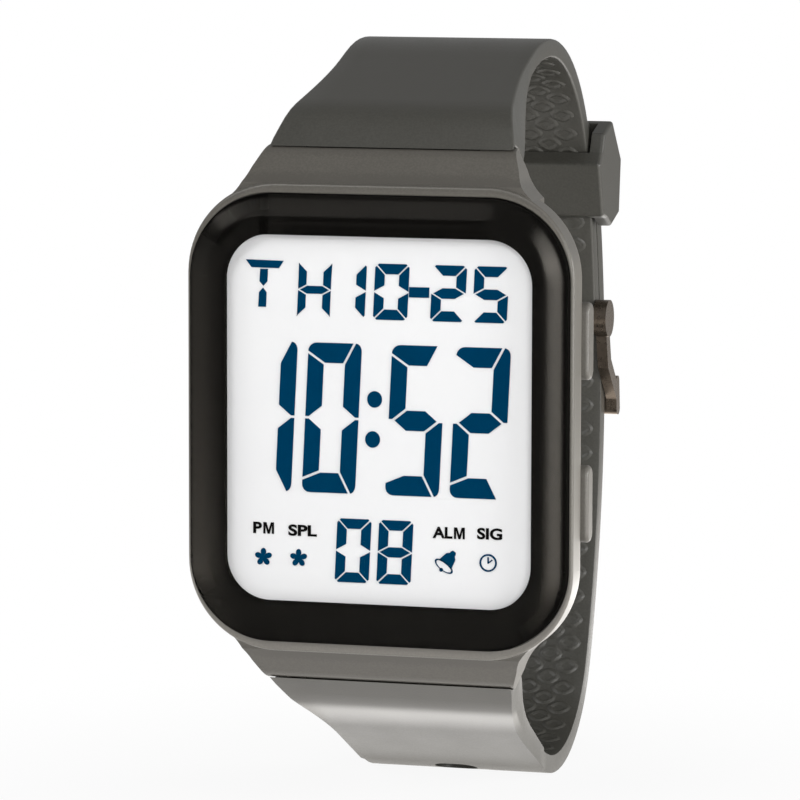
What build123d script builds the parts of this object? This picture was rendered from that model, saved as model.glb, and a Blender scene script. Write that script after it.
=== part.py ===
from build123d import *
import math
import os

# Digital wrist watch with a square black-bordered window and a buckled resin strap.
# Millimetres. The origin is the centre of the outer face of the case back. +X points to
# 3 o'clock, +Z to 12 o'clock, and the display looks towards -Y.
# Heights are measured from the outer face of the case back towards the display.

# Case
case_width = 41.7
case_length = 49.2
case_corner = 9.5
case_foot = 1.0
case_waist = 8.1
rim_height = 11.4
rim_round = 0.3
hood_step_depth = 0.5
case_draft_width = 2.6
waist_round = 2.5
foot_round = 0.8

# Crystal with its black frame and its gasket
rim_side_width = 0.5
rim_end_width = 1.1
crystal_width = case_width - 2 * rim_side_width
crystal_length = case_length - 2 * rim_end_width
crystal_corner = 8.7
crystal_thickness = 1.45
shoulder_width = 2.3
shoulder_depth = 0.75
shoulder_round = 0.5
crest_round = 3.0
border_side_width = 3.8
border_end_width = 4.25
window_width = crystal_width - 2 * border_side_width
window_length = crystal_length - 2 * border_end_width
window_corner = 4.7
mask_thickness = 0.8
crystal_gasket_thickness = 0.4
crystal_gasket_width = 1.7
seat_clearance = 0.1

# Space for the module
seat_side_width = 2.05
seat_end_width = 2.5
front_bay_width = crystal_width - 2 * seat_side_width
front_bay_length = crystal_length - 2 * seat_end_width
front_bay_corner = 2.0
front_bay_floor = 7.8
wall_side_width = 4.55
wall_end_width = 5.2
rear_bay_width = case_width - 2 * wall_side_width
rear_bay_length = case_length - 2 * wall_end_width
rear_bay_corner = 3.0

# Case back and what holds it
back_flange_width = 1.0
back_width = rear_bay_width + 2 * back_flange_width
back_length = rear_bay_length + 2 * back_flange_width
back_corner = 6.5
back_thickness = 1.6
back_gasket_width = 0.7
back_gasket_thickness = 0.5
back_edge_margin = 0.1
screw_radius = 0.6
screw_head_radius = 1.1
screw_head_thickness = 0.6
screw_length = 3.2
screw_inset = 2.6
screw_slot_width = 0.35
screw_slot_depth = 0.3
bore_clearance = 0.05

# Lugs, hoods and spring bars
bar_height = 5.9
bar_end_gap = 0.4
bar_offset = case_length / 2 + bar_end_gap
bar_radius = 0.9
bar_tip_radius = 0.4
bar_tip_length = 1.6
lug_inset = 7.45
lug_ear_width = 3.8
lug_width = case_width - 2 * lug_inset
lug_gap = lug_width - 2 * lug_ear_width
lug_end_radius = 3.3
lug_root_height = 2.6
lug_root_inset = 2.6
lug_lean_width = 1.0
lug_lean_length = 2.2
lug_flare_width = 1.8
lug_flare_length = 2.85
lug_flare_radius = 6.0
lug_draft = 24.0
knuckle_radius = 1.9
knuckle_clearance = 0.2
neck_thickness = 2.5
hood_edge_angle = 112.0
recess_back_angle = -35.0
mouth_length = 7.0
mouth_corner_length = 9.9

# Strap loop, seen from the side: the arc behind the wrist carries the tail, the upper
# strap lies under it, and a bend at each end leads to the lugs.
strap_back_depth = 46.3
loop_offset = 2.1
loop_radius = 81.0
strap_thickness = 2.0
layer_gap = 0.2
upper_bend_radius = 22.0
upper_shoulder_depth = 3.7
upper_shoulder_rise = 7.0
upper_shoulder_offset = bar_offset + upper_shoulder_rise
upper_slope = 19.5
lower_bend_radius = 16.5
lower_shoulder_depth = 2.6
lower_shoulder_rise = 6.4
lower_shoulder_offset = bar_offset + lower_shoulder_rise
lower_slope = 25.7
shoulder_bend_radius = 7.0
strap_joint_gap = 0.17
strap_front_angle = 113.0
upper_under_angle = 27.0
lower_under_angle = 34.0

# Strap widths
strap_side_step = 0.2
strap_neck_step = 2.7
strap_tail_step = 0.3
strap_root_width = lug_width - 2 * strap_side_step
strap_neck_width = strap_root_width - 2 * strap_neck_step
strap_tail_width = strap_neck_width - 2 * strap_tail_step
root_depth = 1.0
taper_lean = 20.0
taper_depth = 9.5
taper_rise = 11.7
taper_offset = bar_offset + taper_rise
taper_share = 0.95
taper_split_depth = 12.2
back_taper_start = 18.0
back_taper_end = 40.0
tail_tip_offset = 33.6
tail_tip_flat = 1.2
tail_tip_radius = strap_tail_width / 2 - tail_tip_flat
lug_side_gap = 0.1

# Holes of the tail
hole_width = 4.8
hole_length = 3.3
hole_pitch = 6.0
hole_lead_gap = 0.2
holes_towards_tip = 4
holes_towards_lug = 10

# Buckle
buckle_bar_offset = 6.2
buckle_bar_depth = 1.8
buckle_bar_radius = 0.75
end_knuckle_radius = 1.8
tongue_slot_width = 4.4
buckle_side_gap = 0.1
buckle_arm_thickness = 1.2
buckle_width = strap_tail_width + 2 * (buckle_side_gap + buckle_arm_thickness)
buckle_boss_thickness = 0.3
buckle_ear_radius = 2.1
buckle_waist_thickness = 1.6
buckle_knee_depth = 0.8
buckle_knee_offset = 5.4
crossbar_offset = -3.7
crossbar_width = 4.5
crossbar_thickness = 1.6
crossbar_corner = 0.7
crossbar_gap = 0.1
crossbar_notch_depth = 0.5
tongue_width = 3.6
tongue_thickness = 1.0
tongue_eye_radius = 1.4
tongue_bend_offset = 5.1
tongue_length = 12.2
tongue_gap = 0.1
tongue_side_gap = 0.2
tongue_edge_round = 0.35
tongue_side_round = 0.2
bar_tip_gap = 0.2

# Keeper
keeper_bend_overlap = 3.9
keeper_outer_length = 11.2
keeper_inner_length = 6.2
keeper_wall = 1.5
keeper_inner_wall = 1.6
keeper_outer_wall = 1.5
keeper_ridge_thickness = 1.9
keeper_side_gap = 0.35
keeper_face_gap = 0.35
keeper_edge_round = 0.4

# Push buttons
button_offset = 8.5
button_height = 5.9
button_length = 8.1
button_thickness = 2.3
button_proud_length = 0.5
button_recess_depth = 2.3
button_travel = 0.8
button_stop_gap = 0.1
button_side_gap = 0.12
button_edge_round = 0.4
shaft_radius = 0.6
shaft_overhang = 0.9
spring_wire = 0.2
spring_radius = 0.85
spring_pocket_radius = 1.05
spring_pocket_depth = 0.9
seal_radius = 1.1
seal_width = 0.6
seal_inset = 0.25
clip_radius = 1.3
clip_thickness = 0.3
clip_groove_depth = 0.2
clip_mouth = 0.9

# Display and module
lcd_margin = 0.8
lcd_width = front_bay_width - 2 * lcd_margin
lcd_length = front_bay_length - 2 * lcd_margin
lcd_thickness = 1.6
guide_side_margin = 0.9
guide_end_margin = 3.8
guide_width = lcd_width - 2 * guide_side_margin
guide_length = lcd_length - 2 * guide_end_margin
guide_thickness = 0.7
guide_gap = 0.05
lamp_width = 2.4
lamp_length = 1.2
lamp_thickness = 0.6
lamp_spacing = 16.0
zebra_margin = 0.7
zebra_length = 1.4
frame_side_gap = 2.5
frame_end_gap = 0.4
frame_wall = 0.6
frame_width = rear_bay_width - 2 * frame_side_gap
frame_length = rear_bay_length - 2 * frame_end_gap
frame_back_height = 2.0
tray_gap = 0.2
frame_tray_width = front_bay_width - 2 * tray_gap
frame_tray_length = front_bay_length - 2 * tray_gap
frame_clearance = 0.15
board_width = frame_width - 2 * frame_wall
board_length = frame_length - 2 * frame_wall
board_height = 6.2
board_thickness = 0.8
zebra_width = board_width - 2 * zebra_margin
zebra_offset = (board_length - zebra_length) / 2
chip_size = 7.4
chip_thickness = 1.0
chip_corner = 0.3
chip_end_margin = 4.8
chip_offset = board_length / 2 - chip_end_margin
quartz_radius = 0.95
quartz_length = 6.2
quartz_end_margin = 12.0
quartz_side_margin = 5.2
quartz_offset = board_length / 2 - quartz_end_margin
quartz_shift = board_width / 2 - quartz_side_margin
cell_radius = 10.0
cell_thickness = 2.5
cell_end_gap = 2.2
cell_offset = cell_radius + cell_end_gap - board_length / 2
cell_height = 2.45
clip_strip_width = 5.0
clip_strip_thickness = 0.2
clip_strip_length = 24.0
buzzer_radius = 6.8
buzzer_thickness = 0.3
buzzer_end_margin = 7.0
buzzer_offset = rear_bay_length / 2 - buzzer_end_margin
buzzer_contact_radius = 0.8
buzzer_contact_shift = 7.2
buzzer_contact_inset = 3.8
buzzer_contact_offset = buzzer_offset - buzzer_contact_inset

# One overrun serves every cut, and one slack every pick of edges by height.
overrun = 1.0
pick_slack = 0.01

# Degrees
right_angle = 90.0


def slab(outline, low, high):
    """A flat outline made solid between two heights above the case back."""
    return extrude(Plane.XZ.offset(low) * outline, high - low)


def edges_at(shape, height):
    """The edges that lie flat at a height above the case back."""
    return shape.edges().filter_by_position(Axis.Y, -height - pick_slack, -height + pick_slack)


def across(profile, half_width):
    """A profile in the Y-Z plane made solid across the watch."""
    return extrude(Plane.YZ * profile, half_width, both=True)


def pin(radius, start, end, depth, offset):
    """A round bar along X at a place in the Y-Z plane."""
    disc = Plane.YZ.offset(start) * Pos(depth, offset) * Circle(radius)
    return extrude(disc, end - start)


def polar(centre, radius, angle):
    """A point at an angle from +Y towards +Z around a centre in the Y-Z plane."""
    turn = math.radians(angle)
    return (centre[0] + radius * math.cos(turn), centre[1] + radius * math.sin(turn))


def flipped(point):
    return (point[0], -point[1])


def tidied(shape):
    """The same solid without the seams that cuts leave on its faces."""
    return shape.clean()


# Places that several pieces share
seat_height = rim_height - seat_clearance - crystal_gasket_thickness
mask_low = seat_height + crystal_gasket_thickness
mask_high = mask_low + mask_thickness
crystal_high = mask_high + crystal_thickness
bar_place = (-bar_height, bar_offset)
loop_depth = loop_radius - strap_back_depth
loop_centre = (-loop_depth, -loop_offset)
inner_loop_radius = loop_radius - strap_thickness - layer_gap
strap_joint_radius = lug_end_radius + strap_joint_gap
buckle_bar_loop = inner_loop_radius - buckle_bar_depth
lug_half = lug_width / 2


def on_loop(radius, offset):
    """The point of a loop circle at a height along Z."""
    rise = offset - loop_centre[1]
    return (loop_centre[0] + math.sqrt(radius ** 2 - rise ** 2), offset)


def loop_angle(radius, offset):
    return math.degrees(math.asin((offset - loop_centre[1]) / radius))


buckle_bar_place = on_loop(buckle_bar_loop, buckle_bar_offset)
buckle_lean = loop_angle(buckle_bar_loop, buckle_bar_offset)


# Case


def case_shell():
    outline = RectangleRounded(case_width, case_length, case_corner)
    upper = slab(outline, case_waist, rim_height)
    draft_height = case_waist - case_foot
    draft = math.degrees(math.atan(case_draft_width / draft_height))
    lower = extrude(Plane.XZ.offset(case_waist) * outline, -draft_height, taper=draft)
    shell = upper + lower
    shell = fillet(edges_at(shell, case_waist), waist_round)
    shell = fillet(edges_at(shell, case_foot), foot_round)
    return fillet(edges_at(shell, rim_height), rim_round)


def lug_block():
    """The hood and the two lug ears at 12 o'clock, as one block."""
    hood_high = rim_height - hood_step_depth
    rim_point = (-hood_high, case_length / 2)
    root = (-lug_root_height, case_length / 2 - lug_root_inset)
    front_angle = tangent_angle(rim_point, 1)
    back_angle = tangent_angle(root, -1)
    front = polar(bar_place, lug_end_radius, front_angle)
    middle = polar(bar_place, lug_end_radius, (front_angle + back_angle) / 2)
    back = polar(bar_place, lug_end_radius, back_angle)
    inside = case_length / 2 - case_corner
    profile = make_face(
        [
            Line((-hood_high, inside), rim_point),
            Line(rim_point, front),
            ThreePointArc(front, middle, back),
            Line(back, root),
            Line(root, (-lug_root_height, inside)),
            Line((-lug_root_height, inside), (-hood_high, inside)),
        ]
    )
    block = across(profile, case_width / 2)
    plan = lug_plan()
    hood = slab(plan, bar_height, rim_height)
    drafted = extrude(Plane.XZ.offset(bar_height) * plan, -bar_height, taper=lug_draft)
    return block & (hood + drafted)


def tangent_angle(point, side):
    """Where the line from a point touches the round end of a lug."""
    span = math.dist(point, bar_place)
    lean = math.degrees(math.atan2(bar_offset - point[1], -bar_height - point[0]))
    angle = lean + side * (math.degrees(math.asin(lug_end_radius / span)) + right_angle)
    return angle


def lug_plan():
    """The lugs seen from the front: straight sides that flare into the case corners."""
    top = bar_offset + 2 * lug_end_radius
    shoulder = bar_offset + lug_end_radius
    leaning = (lug_half + lug_lean_width, shoulder - lug_lean_length)
    foot = (leaning[0] + lug_flare_width, leaning[1] - lug_flare_length)
    inside = case_length / 2 - case_corner
    wide = foot[0]
    right = [
        Line((lug_half, top), (lug_half, shoulder)),
        Line((lug_half, shoulder), leaning),
        RadiusArc(leaning, foot, -lug_flare_radius),
        Line(foot, (wide, inside)),
    ]
    left = [mirror(edge, about=Plane.YZ) for edge in right]
    closing = [Line((-lug_half, top), (lug_half, top)), Line((-wide, inside), (wide, inside))]
    return make_face(right + left + closing)


def lug_recess():
    """The space under a hood where the strap's knuckle turns about its bar."""
    knuckle = Pos(*bar_place) * Circle(knuckle_radius + knuckle_clearance)
    mouth = make_face(
        Polyline(
            bar_place,
            polar(bar_place, mouth_length, hood_edge_angle),
            polar(bar_place, mouth_corner_length, (hood_edge_angle + recess_back_angle) / 2),
            polar(bar_place, mouth_length, recess_back_angle),
            close=True,
        )
    )
    recess = across(knuckle + mouth, lug_gap / 2)
    tip_radius = bar_tip_radius + bore_clearance
    tip_reach = lug_gap / 2 + bar_tip_length + bore_clearance
    return recess + pin(tip_radius, -tip_reach, tip_reach, *bar_place)


def button_places():
    for side in (1, -1):
        for level in (1, -1):
            yield side, level


def button_name(side, level):
    return ("upper" if level > 0 else "lower") + ("_right" if side > 0 else "_left")


def at_button(shape, side, level):
    """Moves what is modelled on the X axis to one of the four buttons."""
    placed = Pos(0, -button_height, level * button_offset) * shape
    return placed if side > 0 else mirror(placed, about=Plane.YZ)


def along_x(radius, start, end):
    return extrude(Plane.YZ.offset(start) * Circle(radius), end - start)


button_floor = case_width / 2 - button_recess_depth
wall_inside = rear_bay_width / 2
seal_start = wall_inside + seal_inset


def button_cut():
    gap = 2 * button_side_gap
    long_side = button_length + gap
    short_side = button_thickness + gap
    recess = extrude(
        Plane.YZ.offset(button_floor) * SlotOverall(long_side, short_side, rotation=right_angle),
        button_recess_depth + overrun,
    )
    pocket = along_x(spring_pocket_radius, button_floor - spring_pocket_depth, button_floor + overrun)
    bore = along_x(shaft_radius + bore_clearance, wall_inside - overrun, button_floor)
    groove = along_x(seal_radius, seal_start, seal_start + seal_width)
    return recess + pocket + bore + groove


def screw_places():
    x = back_width / 2 - screw_inset
    z = back_length / 2 - screw_inset
    return [(x, z), (-x, z), (x, -z), (-x, -z)]


def case_body():
    body = case_shell()
    block = lug_block()
    body += block + mirror(block, about=Plane.XY)
    crystal_pocket = RectangleRounded(
        crystal_width + 2 * seat_clearance, crystal_length + 2 * seat_clearance, crystal_corner
    )
    body -= slab(crystal_pocket, seat_height, rim_height + overrun)
    body -= slab(
        RectangleRounded(front_bay_width, front_bay_length, front_bay_corner),
        front_bay_floor,
        seat_height + overrun,
    )
    body -= slab(RectangleRounded(rear_bay_width, rear_bay_length, rear_bay_corner), 0, front_bay_floor)
    back_seat = RectangleRounded(
        back_width + 2 * back_edge_margin, back_length + 2 * back_edge_margin, back_corner
    )
    body -= slab(back_seat, 0, back_thickness)
    gasket = slab(back_gasket_ring(), back_thickness, back_thickness + back_gasket_thickness)
    body -= gasket
    recess = lug_recess()
    body -= recess + mirror(recess, about=Plane.XY)
    for side, level in button_places():
        body -= at_button(button_cut(), side, level)
    for x, z in screw_places():
        body -= slab(Pos(x, z) * Circle(screw_radius), 0, screw_length)
    return tidied(body)


def back_gasket_ring():
    outer = RectangleRounded(
        rear_bay_width + 2 * back_gasket_width, rear_bay_length + 2 * back_gasket_width, rear_bay_corner
    )
    return outer - RectangleRounded(rear_bay_width, rear_bay_length, rear_bay_corner)


# Window


def crystal():
    outline = RectangleRounded(crystal_width, crystal_length, crystal_corner)
    side_high = crystal_high - shoulder_depth
    lean = math.degrees(math.atan(shoulder_width / shoulder_depth))
    lens = slab(outline, mask_high, side_high)
    lens += extrude(Plane.XZ.offset(side_high) * outline, shoulder_depth, taper=lean)
    lens = fillet(edges_at(lens, crystal_high), crest_round)
    return fillet(edges_at(lens, side_high), shoulder_round)


def crystal_mask():
    ring = RectangleRounded(crystal_width, crystal_length, crystal_corner)
    ring -= RectangleRounded(window_width, window_length, window_corner)
    return slab(ring, mask_low, mask_high)


def crystal_gasket():
    inner_width = crystal_width - 2 * crystal_gasket_width
    inner_length = crystal_length - 2 * crystal_gasket_width
    ring = RectangleRounded(crystal_width, crystal_length, crystal_corner)
    ring -= RectangleRounded(inner_width, inner_length, crystal_corner - crystal_gasket_width)
    return slab(ring, seat_height, mask_low)


# Case back


def screw():
    head = slab(Circle(screw_head_radius), 0, screw_head_thickness)
    shank = slab(Circle(screw_radius), screw_head_thickness, screw_length)
    slot = slab(Rectangle(2 * screw_head_radius + overrun, screw_slot_width), 0, screw_slot_depth)
    return head + shank - slot


def case_back():
    plate = slab(RectangleRounded(back_width, back_length, back_corner), 0, back_thickness)
    for x, z in screw_places():
        plate -= slab(Pos(x, z) * Circle(screw_radius + bore_clearance), 0, back_thickness)
        plate -= slab(Pos(x, z) * Circle(screw_head_radius + bore_clearance), 0, screw_head_thickness)
    return plate


def case_back_screws():
    return Compound([Pos(x, 0, z) * screw() for x, z in screw_places()])


def case_back_gasket():
    return slab(back_gasket_ring(), back_thickness, back_thickness + back_gasket_thickness)


# Display and module


guide_low = seat_height - lcd_thickness - guide_gap - guide_thickness
board_high = board_height + board_thickness
lcd_low = seat_height - lcd_thickness


def lcd_panel():
    return slab(Rectangle(lcd_width, lcd_length), lcd_low, seat_height)


def light_guide():
    plate = slab(Rectangle(guide_width, guide_length), guide_low, guide_low + guide_thickness)
    notch = Rectangle(lamp_width + 2 * guide_gap, lamp_length + 2 * guide_gap)
    for side in (1, -1):
        place = Pos(side * lamp_spacing / 2, lamp_row)
        plate -= slab(place * notch, guide_low, guide_low + guide_thickness)
    return plate


lamp_row = (guide_length - lamp_length) / 2


def backlight_lamps():
    lamp = slab(Rectangle(lamp_width, lamp_length), guide_low, guide_low + lamp_thickness)
    return Compound([Pos(side * lamp_spacing / 2, 0, lamp_row) * lamp for side in (1, -1)])


def lcd_connectors():
    strip = slab(Rectangle(zebra_width, zebra_length), board_high, lcd_low)
    return Compound([Pos(0, 0, side * zebra_offset) * strip for side in (1, -1)])


def module_frame():
    lower = slab(Rectangle(frame_width, frame_length), frame_back_height, seat_height)
    tray = slab(
        RectangleRounded(frame_tray_width, frame_tray_length, front_bay_corner),
        front_bay_floor + frame_clearance,
        seat_height,
    )
    frame = lower + tray
    frame -= slab(
        Rectangle(lcd_width + 2 * frame_clearance, lcd_length + 2 * frame_clearance),
        guide_low - frame_clearance,
        seat_height,
    )
    frame -= slab(
        Rectangle(board_width + 2 * frame_clearance, board_length + 2 * frame_clearance),
        board_height,
        guide_low - 2 * frame_clearance,
    )
    strip_room = Rectangle(zebra_width + 2 * frame_clearance, zebra_length + 2 * frame_clearance)
    for side in (1, -1):
        frame -= slab(Pos(0, side * zebra_offset) * strip_room, board_height, guide_low)
    frame -= slab(
        Pos(0, cell_offset) * Circle(cell_radius + frame_clearance), frame_back_height, board_height
    )
    chip_room = chip_size + 2 * frame_clearance
    frame -= slab(Pos(0, chip_offset) * Rectangle(chip_room, chip_room), frame_back_height, board_height)
    frame -= quartz_room()
    frame -= slab(
        Pos(buzzer_contact_shift, buzzer_contact_offset)
        * Circle(buzzer_contact_radius + frame_clearance),
        frame_back_height,
        board_height,
    )
    return tidied(frame)


def quartz_room():
    room = Rectangle(quartz_length + 2 * frame_clearance, 2 * (quartz_radius + frame_clearance))
    low = board_height - 2 * (quartz_radius + frame_clearance)
    return slab(Pos(-quartz_shift, quartz_offset) * room, low, board_height)


def circuit_board():
    return slab(Rectangle(board_width, board_length), board_height, board_high)


def timer_chip():
    outline = RectangleRounded(chip_size, chip_size, chip_corner)
    return slab(Pos(0, chip_offset) * outline, board_height - chip_thickness, board_height)


def quartz_can():
    start = -quartz_shift - quartz_length / 2
    depth = quartz_radius - board_height
    return pin(quartz_radius, start, start + quartz_length, depth, quartz_offset)


def coin_cell():
    disc = slab(Pos(0, cell_offset) * Circle(cell_radius), cell_height, cell_height + cell_thickness)
    edges = disc.edges().filter_by(GeomType.CIRCLE)
    return fillet(edges, clip_strip_thickness)


def cell_clip():
    """A flat steel strip over the cell, its feet on the module frame."""
    strip = slab(Rectangle(clip_strip_length, clip_strip_width), 0, clip_strip_thickness)
    low = frame_back_height - clip_strip_thickness
    return Pos(0, -low, cell_offset) * strip


def buzzer_disc():
    low = back_thickness
    return slab(Pos(0, buzzer_offset) * Circle(buzzer_radius), low, low + buzzer_thickness)


def buzzer_contact():
    low = back_thickness + buzzer_thickness
    place = Pos(buzzer_contact_shift, buzzer_contact_offset)
    return slab(place * Circle(buzzer_contact_radius), low, board_height)


# Buttons


button_face = case_width / 2 + button_proud_length
button_back = button_floor + button_travel + button_stop_gap
shaft_end = wall_inside - clip_thickness - shaft_overhang


def button():
    cap = extrude(
        Plane.YZ.offset(button_back) * SlotOverall(button_length, button_thickness, rotation=right_angle),
        button_face - button_back,
    )
    cap = fillet(cap.faces().sort_by(Axis.X)[-1].edges(), button_edge_round)
    shaft = along_x(shaft_radius, shaft_end, button_back)
    groove = along_x(shaft_radius, wall_inside - clip_thickness, wall_inside)
    core = along_x(shaft_radius - clip_groove_depth, wall_inside - clip_thickness, wall_inside)
    return cap + (shaft - (groove - core))


def button_clip():
    """An E-shaped steel clip that stops the shaft from sliding out."""
    ring = Circle(clip_radius) - Circle(shaft_radius - clip_groove_depth + bore_clearance)
    ring -= Pos(0, clip_radius) * Rectangle(clip_mouth, 2 * clip_radius)
    start = wall_inside - clip_thickness + bore_clearance
    return extrude(Plane.YZ.offset(start) * ring, clip_thickness - 2 * bore_clearance)


def button_spring():
    """The closed outer shape of the coil spring around a shaft."""
    ring = Circle(spring_radius + spring_wire / 2) - Circle(spring_radius - spring_wire / 2)
    start = button_floor - spring_pocket_depth
    return extrude(Plane.YZ.offset(start) * ring, button_back - start)


def button_seals():
    seal = along_x(seal_radius, seal_start, seal_start + seal_width)
    seal -= along_x(shaft_radius + bore_clearance, seal_start, seal_start + seal_width)
    return Compound([at_button(seal, side, level) for side, level in button_places()])


# Strap


def bend_centre(shoulder, slope, bend, reach):
    """The centre of a bend that touches the sloping line and, from inside, a loop circle."""
    turn = math.radians(slope)
    along = Vector(math.cos(turn), math.sin(turn))
    start = Vector(*shoulder) + Vector(math.sin(turn), -math.cos(turn)) * bend
    gap = start - Vector(*reach[0])
    half = gap.dot(along)
    rest = gap.dot(gap) - (reach[1] - bend) ** 2
    place = start + along * (math.sqrt(half ** 2 - rest) - half)
    return (place.X, place.Y)


def bend_values(upper):
    """Shoulder, slope, bend radius and loop of one strap half, as at 12 o'clock."""
    if upper:
        shoulder = (-upper_shoulder_depth, upper_shoulder_offset)
        loop = (loop_centre, inner_loop_radius)
        return shoulder, upper_slope, upper_bend_radius, loop, upper_under_angle
    shoulder = (-lower_shoulder_depth, lower_shoulder_offset)
    loop = (flipped(loop_centre), loop_radius)
    return shoulder, lower_slope, lower_bend_radius, loop, lower_under_angle


def strap_profile(upper, end_offset):
    """The side view of one strap half from its lug joint to a height on the loop."""
    shoulder, slope, bend, loop, under_angle = bend_values(upper)
    centre = bend_centre(shoulder, slope, bend, loop)
    front = polar(bar_place, strap_joint_radius, strap_front_angle)
    under = polar(bar_place, strap_joint_radius, under_angle)
    middle = polar(bar_place, strap_joint_radius, (strap_front_angle + under_angle) / 2)
    crest = polar(centre, bend, slope + right_angle)
    lean = math.degrees(math.atan2(centre[1] - loop[0][1], centre[0] - loop[0][0]))
    turned = polar(centre, bend, lean)
    over = polar(centre, bend, (slope + right_angle + lean) / 2)
    inner_bend = bend - strap_thickness
    span = math.dist(under, centre)
    reach = math.degrees(math.atan2(under[1] - centre[1], under[0] - centre[0]))
    inner_angle = reach - math.degrees(math.acos(inner_bend / span))
    inner_start = polar(centre, inner_bend, inner_angle)
    inner_over = polar(centre, inner_bend, (inner_angle + lean) / 2)
    inner_turned = polar(centre, inner_bend, lean)
    outer_end_angle = math.degrees(math.asin((end_offset - loop[0][1]) / loop[1]))
    outer_end = polar(loop[0], loop[1], outer_end_angle)
    inner_end = polar(loop[0], loop[1] - strap_thickness, outer_end_angle)
    mid_angle = (lean + outer_end_angle) / 2
    outer_mid = polar(loop[0], loop[1], mid_angle)
    inner_mid = polar(loop[0], loop[1] - strap_thickness, mid_angle)
    edges = [
        FilletPolyline(front, shoulder, crest, radius=shoulder_bend_radius),
        ThreePointArc(crest, over, turned),
        ThreePointArc(turned, outer_mid, outer_end),
        Line(outer_end, inner_end),
        ThreePointArc(inner_end, inner_mid, inner_turned),
        ThreePointArc(inner_turned, inner_over, inner_start),
        Line(inner_start, under),
        ThreePointArc(under, middle, front),
    ]
    return make_face(edges)


def strap_front_room():
    """The strap's width between the lug and the crest. The same width runs back at a lean."""
    turn = math.radians(taper_lean)
    joint = polar(bar_place, strap_joint_radius, strap_front_angle)
    start, low, high = (
        depth * math.sin(turn) + offset * math.cos(turn)
        for depth, offset in (joint, (joint[0] + root_depth, joint[1]), (taper_depth, taper_offset))
    )
    root = strap_root_width / 2
    neck = strap_neck_width / 2
    top = loop_radius
    right = [
        Line((root, 0), (root, low)),
        Spline(
            (root, low),
            (neck, high),
            tangents=[(neck - root, taper_share * (high - start)), (0, 1)],
        ),
        Line((neck, high), (neck, top)),
    ]
    left = [mirror(edge, about=Plane.YZ) for edge in right]
    plan = make_face(right + left + [Line((-root, 0), (root, 0)), Line((-neck, top), (neck, top))])
    leaning = Plane(origin=(0, 0, 0), x_dir=(1, 0, 0), z_dir=(0, -math.cos(turn), math.sin(turn)))
    room = extrude(leaning * plan, loop_radius, both=True)
    return room & slab(Rectangle(strap_root_width, 2 * loop_radius), -taper_split_depth, rim_height)


def strap_back_room(end_width):
    """The strap's width behind the crest, as seen from above."""
    neck = strap_neck_width / 2
    end = end_width / 2
    back = loop_radius - loop_depth + overrun
    plan = make_face(
        Polyline(
            (neck, taper_split_depth),
            (neck, back_taper_start),
            (end, back_taper_end),
            (end, back),
            (-end, back),
            (-end, back_taper_end),
            (-neck, back_taper_start),
            (-neck, taper_split_depth),
            close=True,
        )
    )
    return extrude(plan, loop_radius, both=True)


def strap_knuckle(under_angle):
    """The narrow knuckle with its neck, which turns on the lug bar."""
    angle = (strap_front_angle + under_angle) / 2
    disc = Pos(*bar_place) * Circle(knuckle_radius)
    neck = Rot(0, 0, angle) * Pos(strap_joint_radius / 2, 0) * Rectangle(
        strap_joint_radius + strap_thickness, neck_thickness
    )
    return across(disc + Pos(*bar_place) * neck, lug_gap / 2 - lug_side_gap)


def strap_half(upper, end_offset, end_width):
    block = across(strap_profile(upper, end_offset), strap_root_width / 2)
    strap = (block & strap_front_room()) + (block & strap_back_room(end_width))
    strap += strap_knuckle(bend_values(upper)[-1])
    bore = bar_radius + bore_clearance
    return strap - pin(bore, -lug_gap / 2, lug_gap / 2, *bar_place)


def strap_upper():
    strap = strap_half(True, buckle_bar_offset, strap_tail_width)
    knuckle_half = strap_tail_width / 2
    strap += pin(end_knuckle_radius, -knuckle_half, knuckle_half, *buckle_bar_place)
    slot = Rectangle(tongue_slot_width, 2 * (end_knuckle_radius + strap_thickness))
    tall = 2 * (end_knuckle_radius + overrun)
    cut = extrude(Plane.XZ * slot, tall, both=True)
    strap -= Pos(0, *buckle_bar_place) * cut
    bore = buckle_bar_radius + bore_clearance
    return tidied(strap - pin(bore, -knuckle_half, knuckle_half, *buckle_bar_place))


def lower_bend_centre():
    shoulder, slope, bend, loop, under_angle = bend_values(False)
    return flipped(bend_centre(shoulder, slope, bend, loop))


def ring_cut(centre, radius, angle):
    """The cut of one strap hole, square to a circle of the strap's outer face."""
    slot = SlotOverall(hole_width, hole_length)
    cut = extrude(Plane.XZ.offset(-radius - overrun) * slot, strap_thickness + 2 * overrun)
    return Pos(0, *centre) * Rot(angle, 0, 0) * cut


def hole_cut(distance):
    """A hole at a distance along the tail from the tongue's hole, towards the lug."""
    first = buckle_lean - math.degrees((tongue_bend_offset - hole_lead_gap) / loop_radius)
    bend = lower_bend_centre()
    turn = math.degrees(math.atan2(bend[1] - loop_centre[1], bend[0] - loop_centre[0]))
    angle = first - math.degrees(distance / loop_radius)
    if angle > turn:
        return ring_cut(loop_centre, loop_radius, angle)
    beyond = (turn - angle) * loop_radius / lower_bend_radius
    return ring_cut(bend, lower_bend_radius, turn - beyond)


def tail_corners():
    """What is cut from the square end of the tail to leave a round tip."""
    wide = strap_tail_width
    block = Pos(0, tail_tip_offset) * Rectangle(wide + overrun, 2 * tail_tip_radius)
    block -= Pos(0, tail_tip_offset - wide) * RectangleRounded(wide, 2 * wide, tail_tip_radius)
    return slab(block, -loop_radius, 0)


def strap_lower():
    strap = mirror(strap_half(False, -tail_tip_offset, strap_tail_width), about=Plane.XY)
    strap -= tail_corners()
    for step in range(-holes_towards_tip, holes_towards_lug + 1):
        strap -= hole_cut(step * hole_pitch)
    return tidied(strap)


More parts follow.
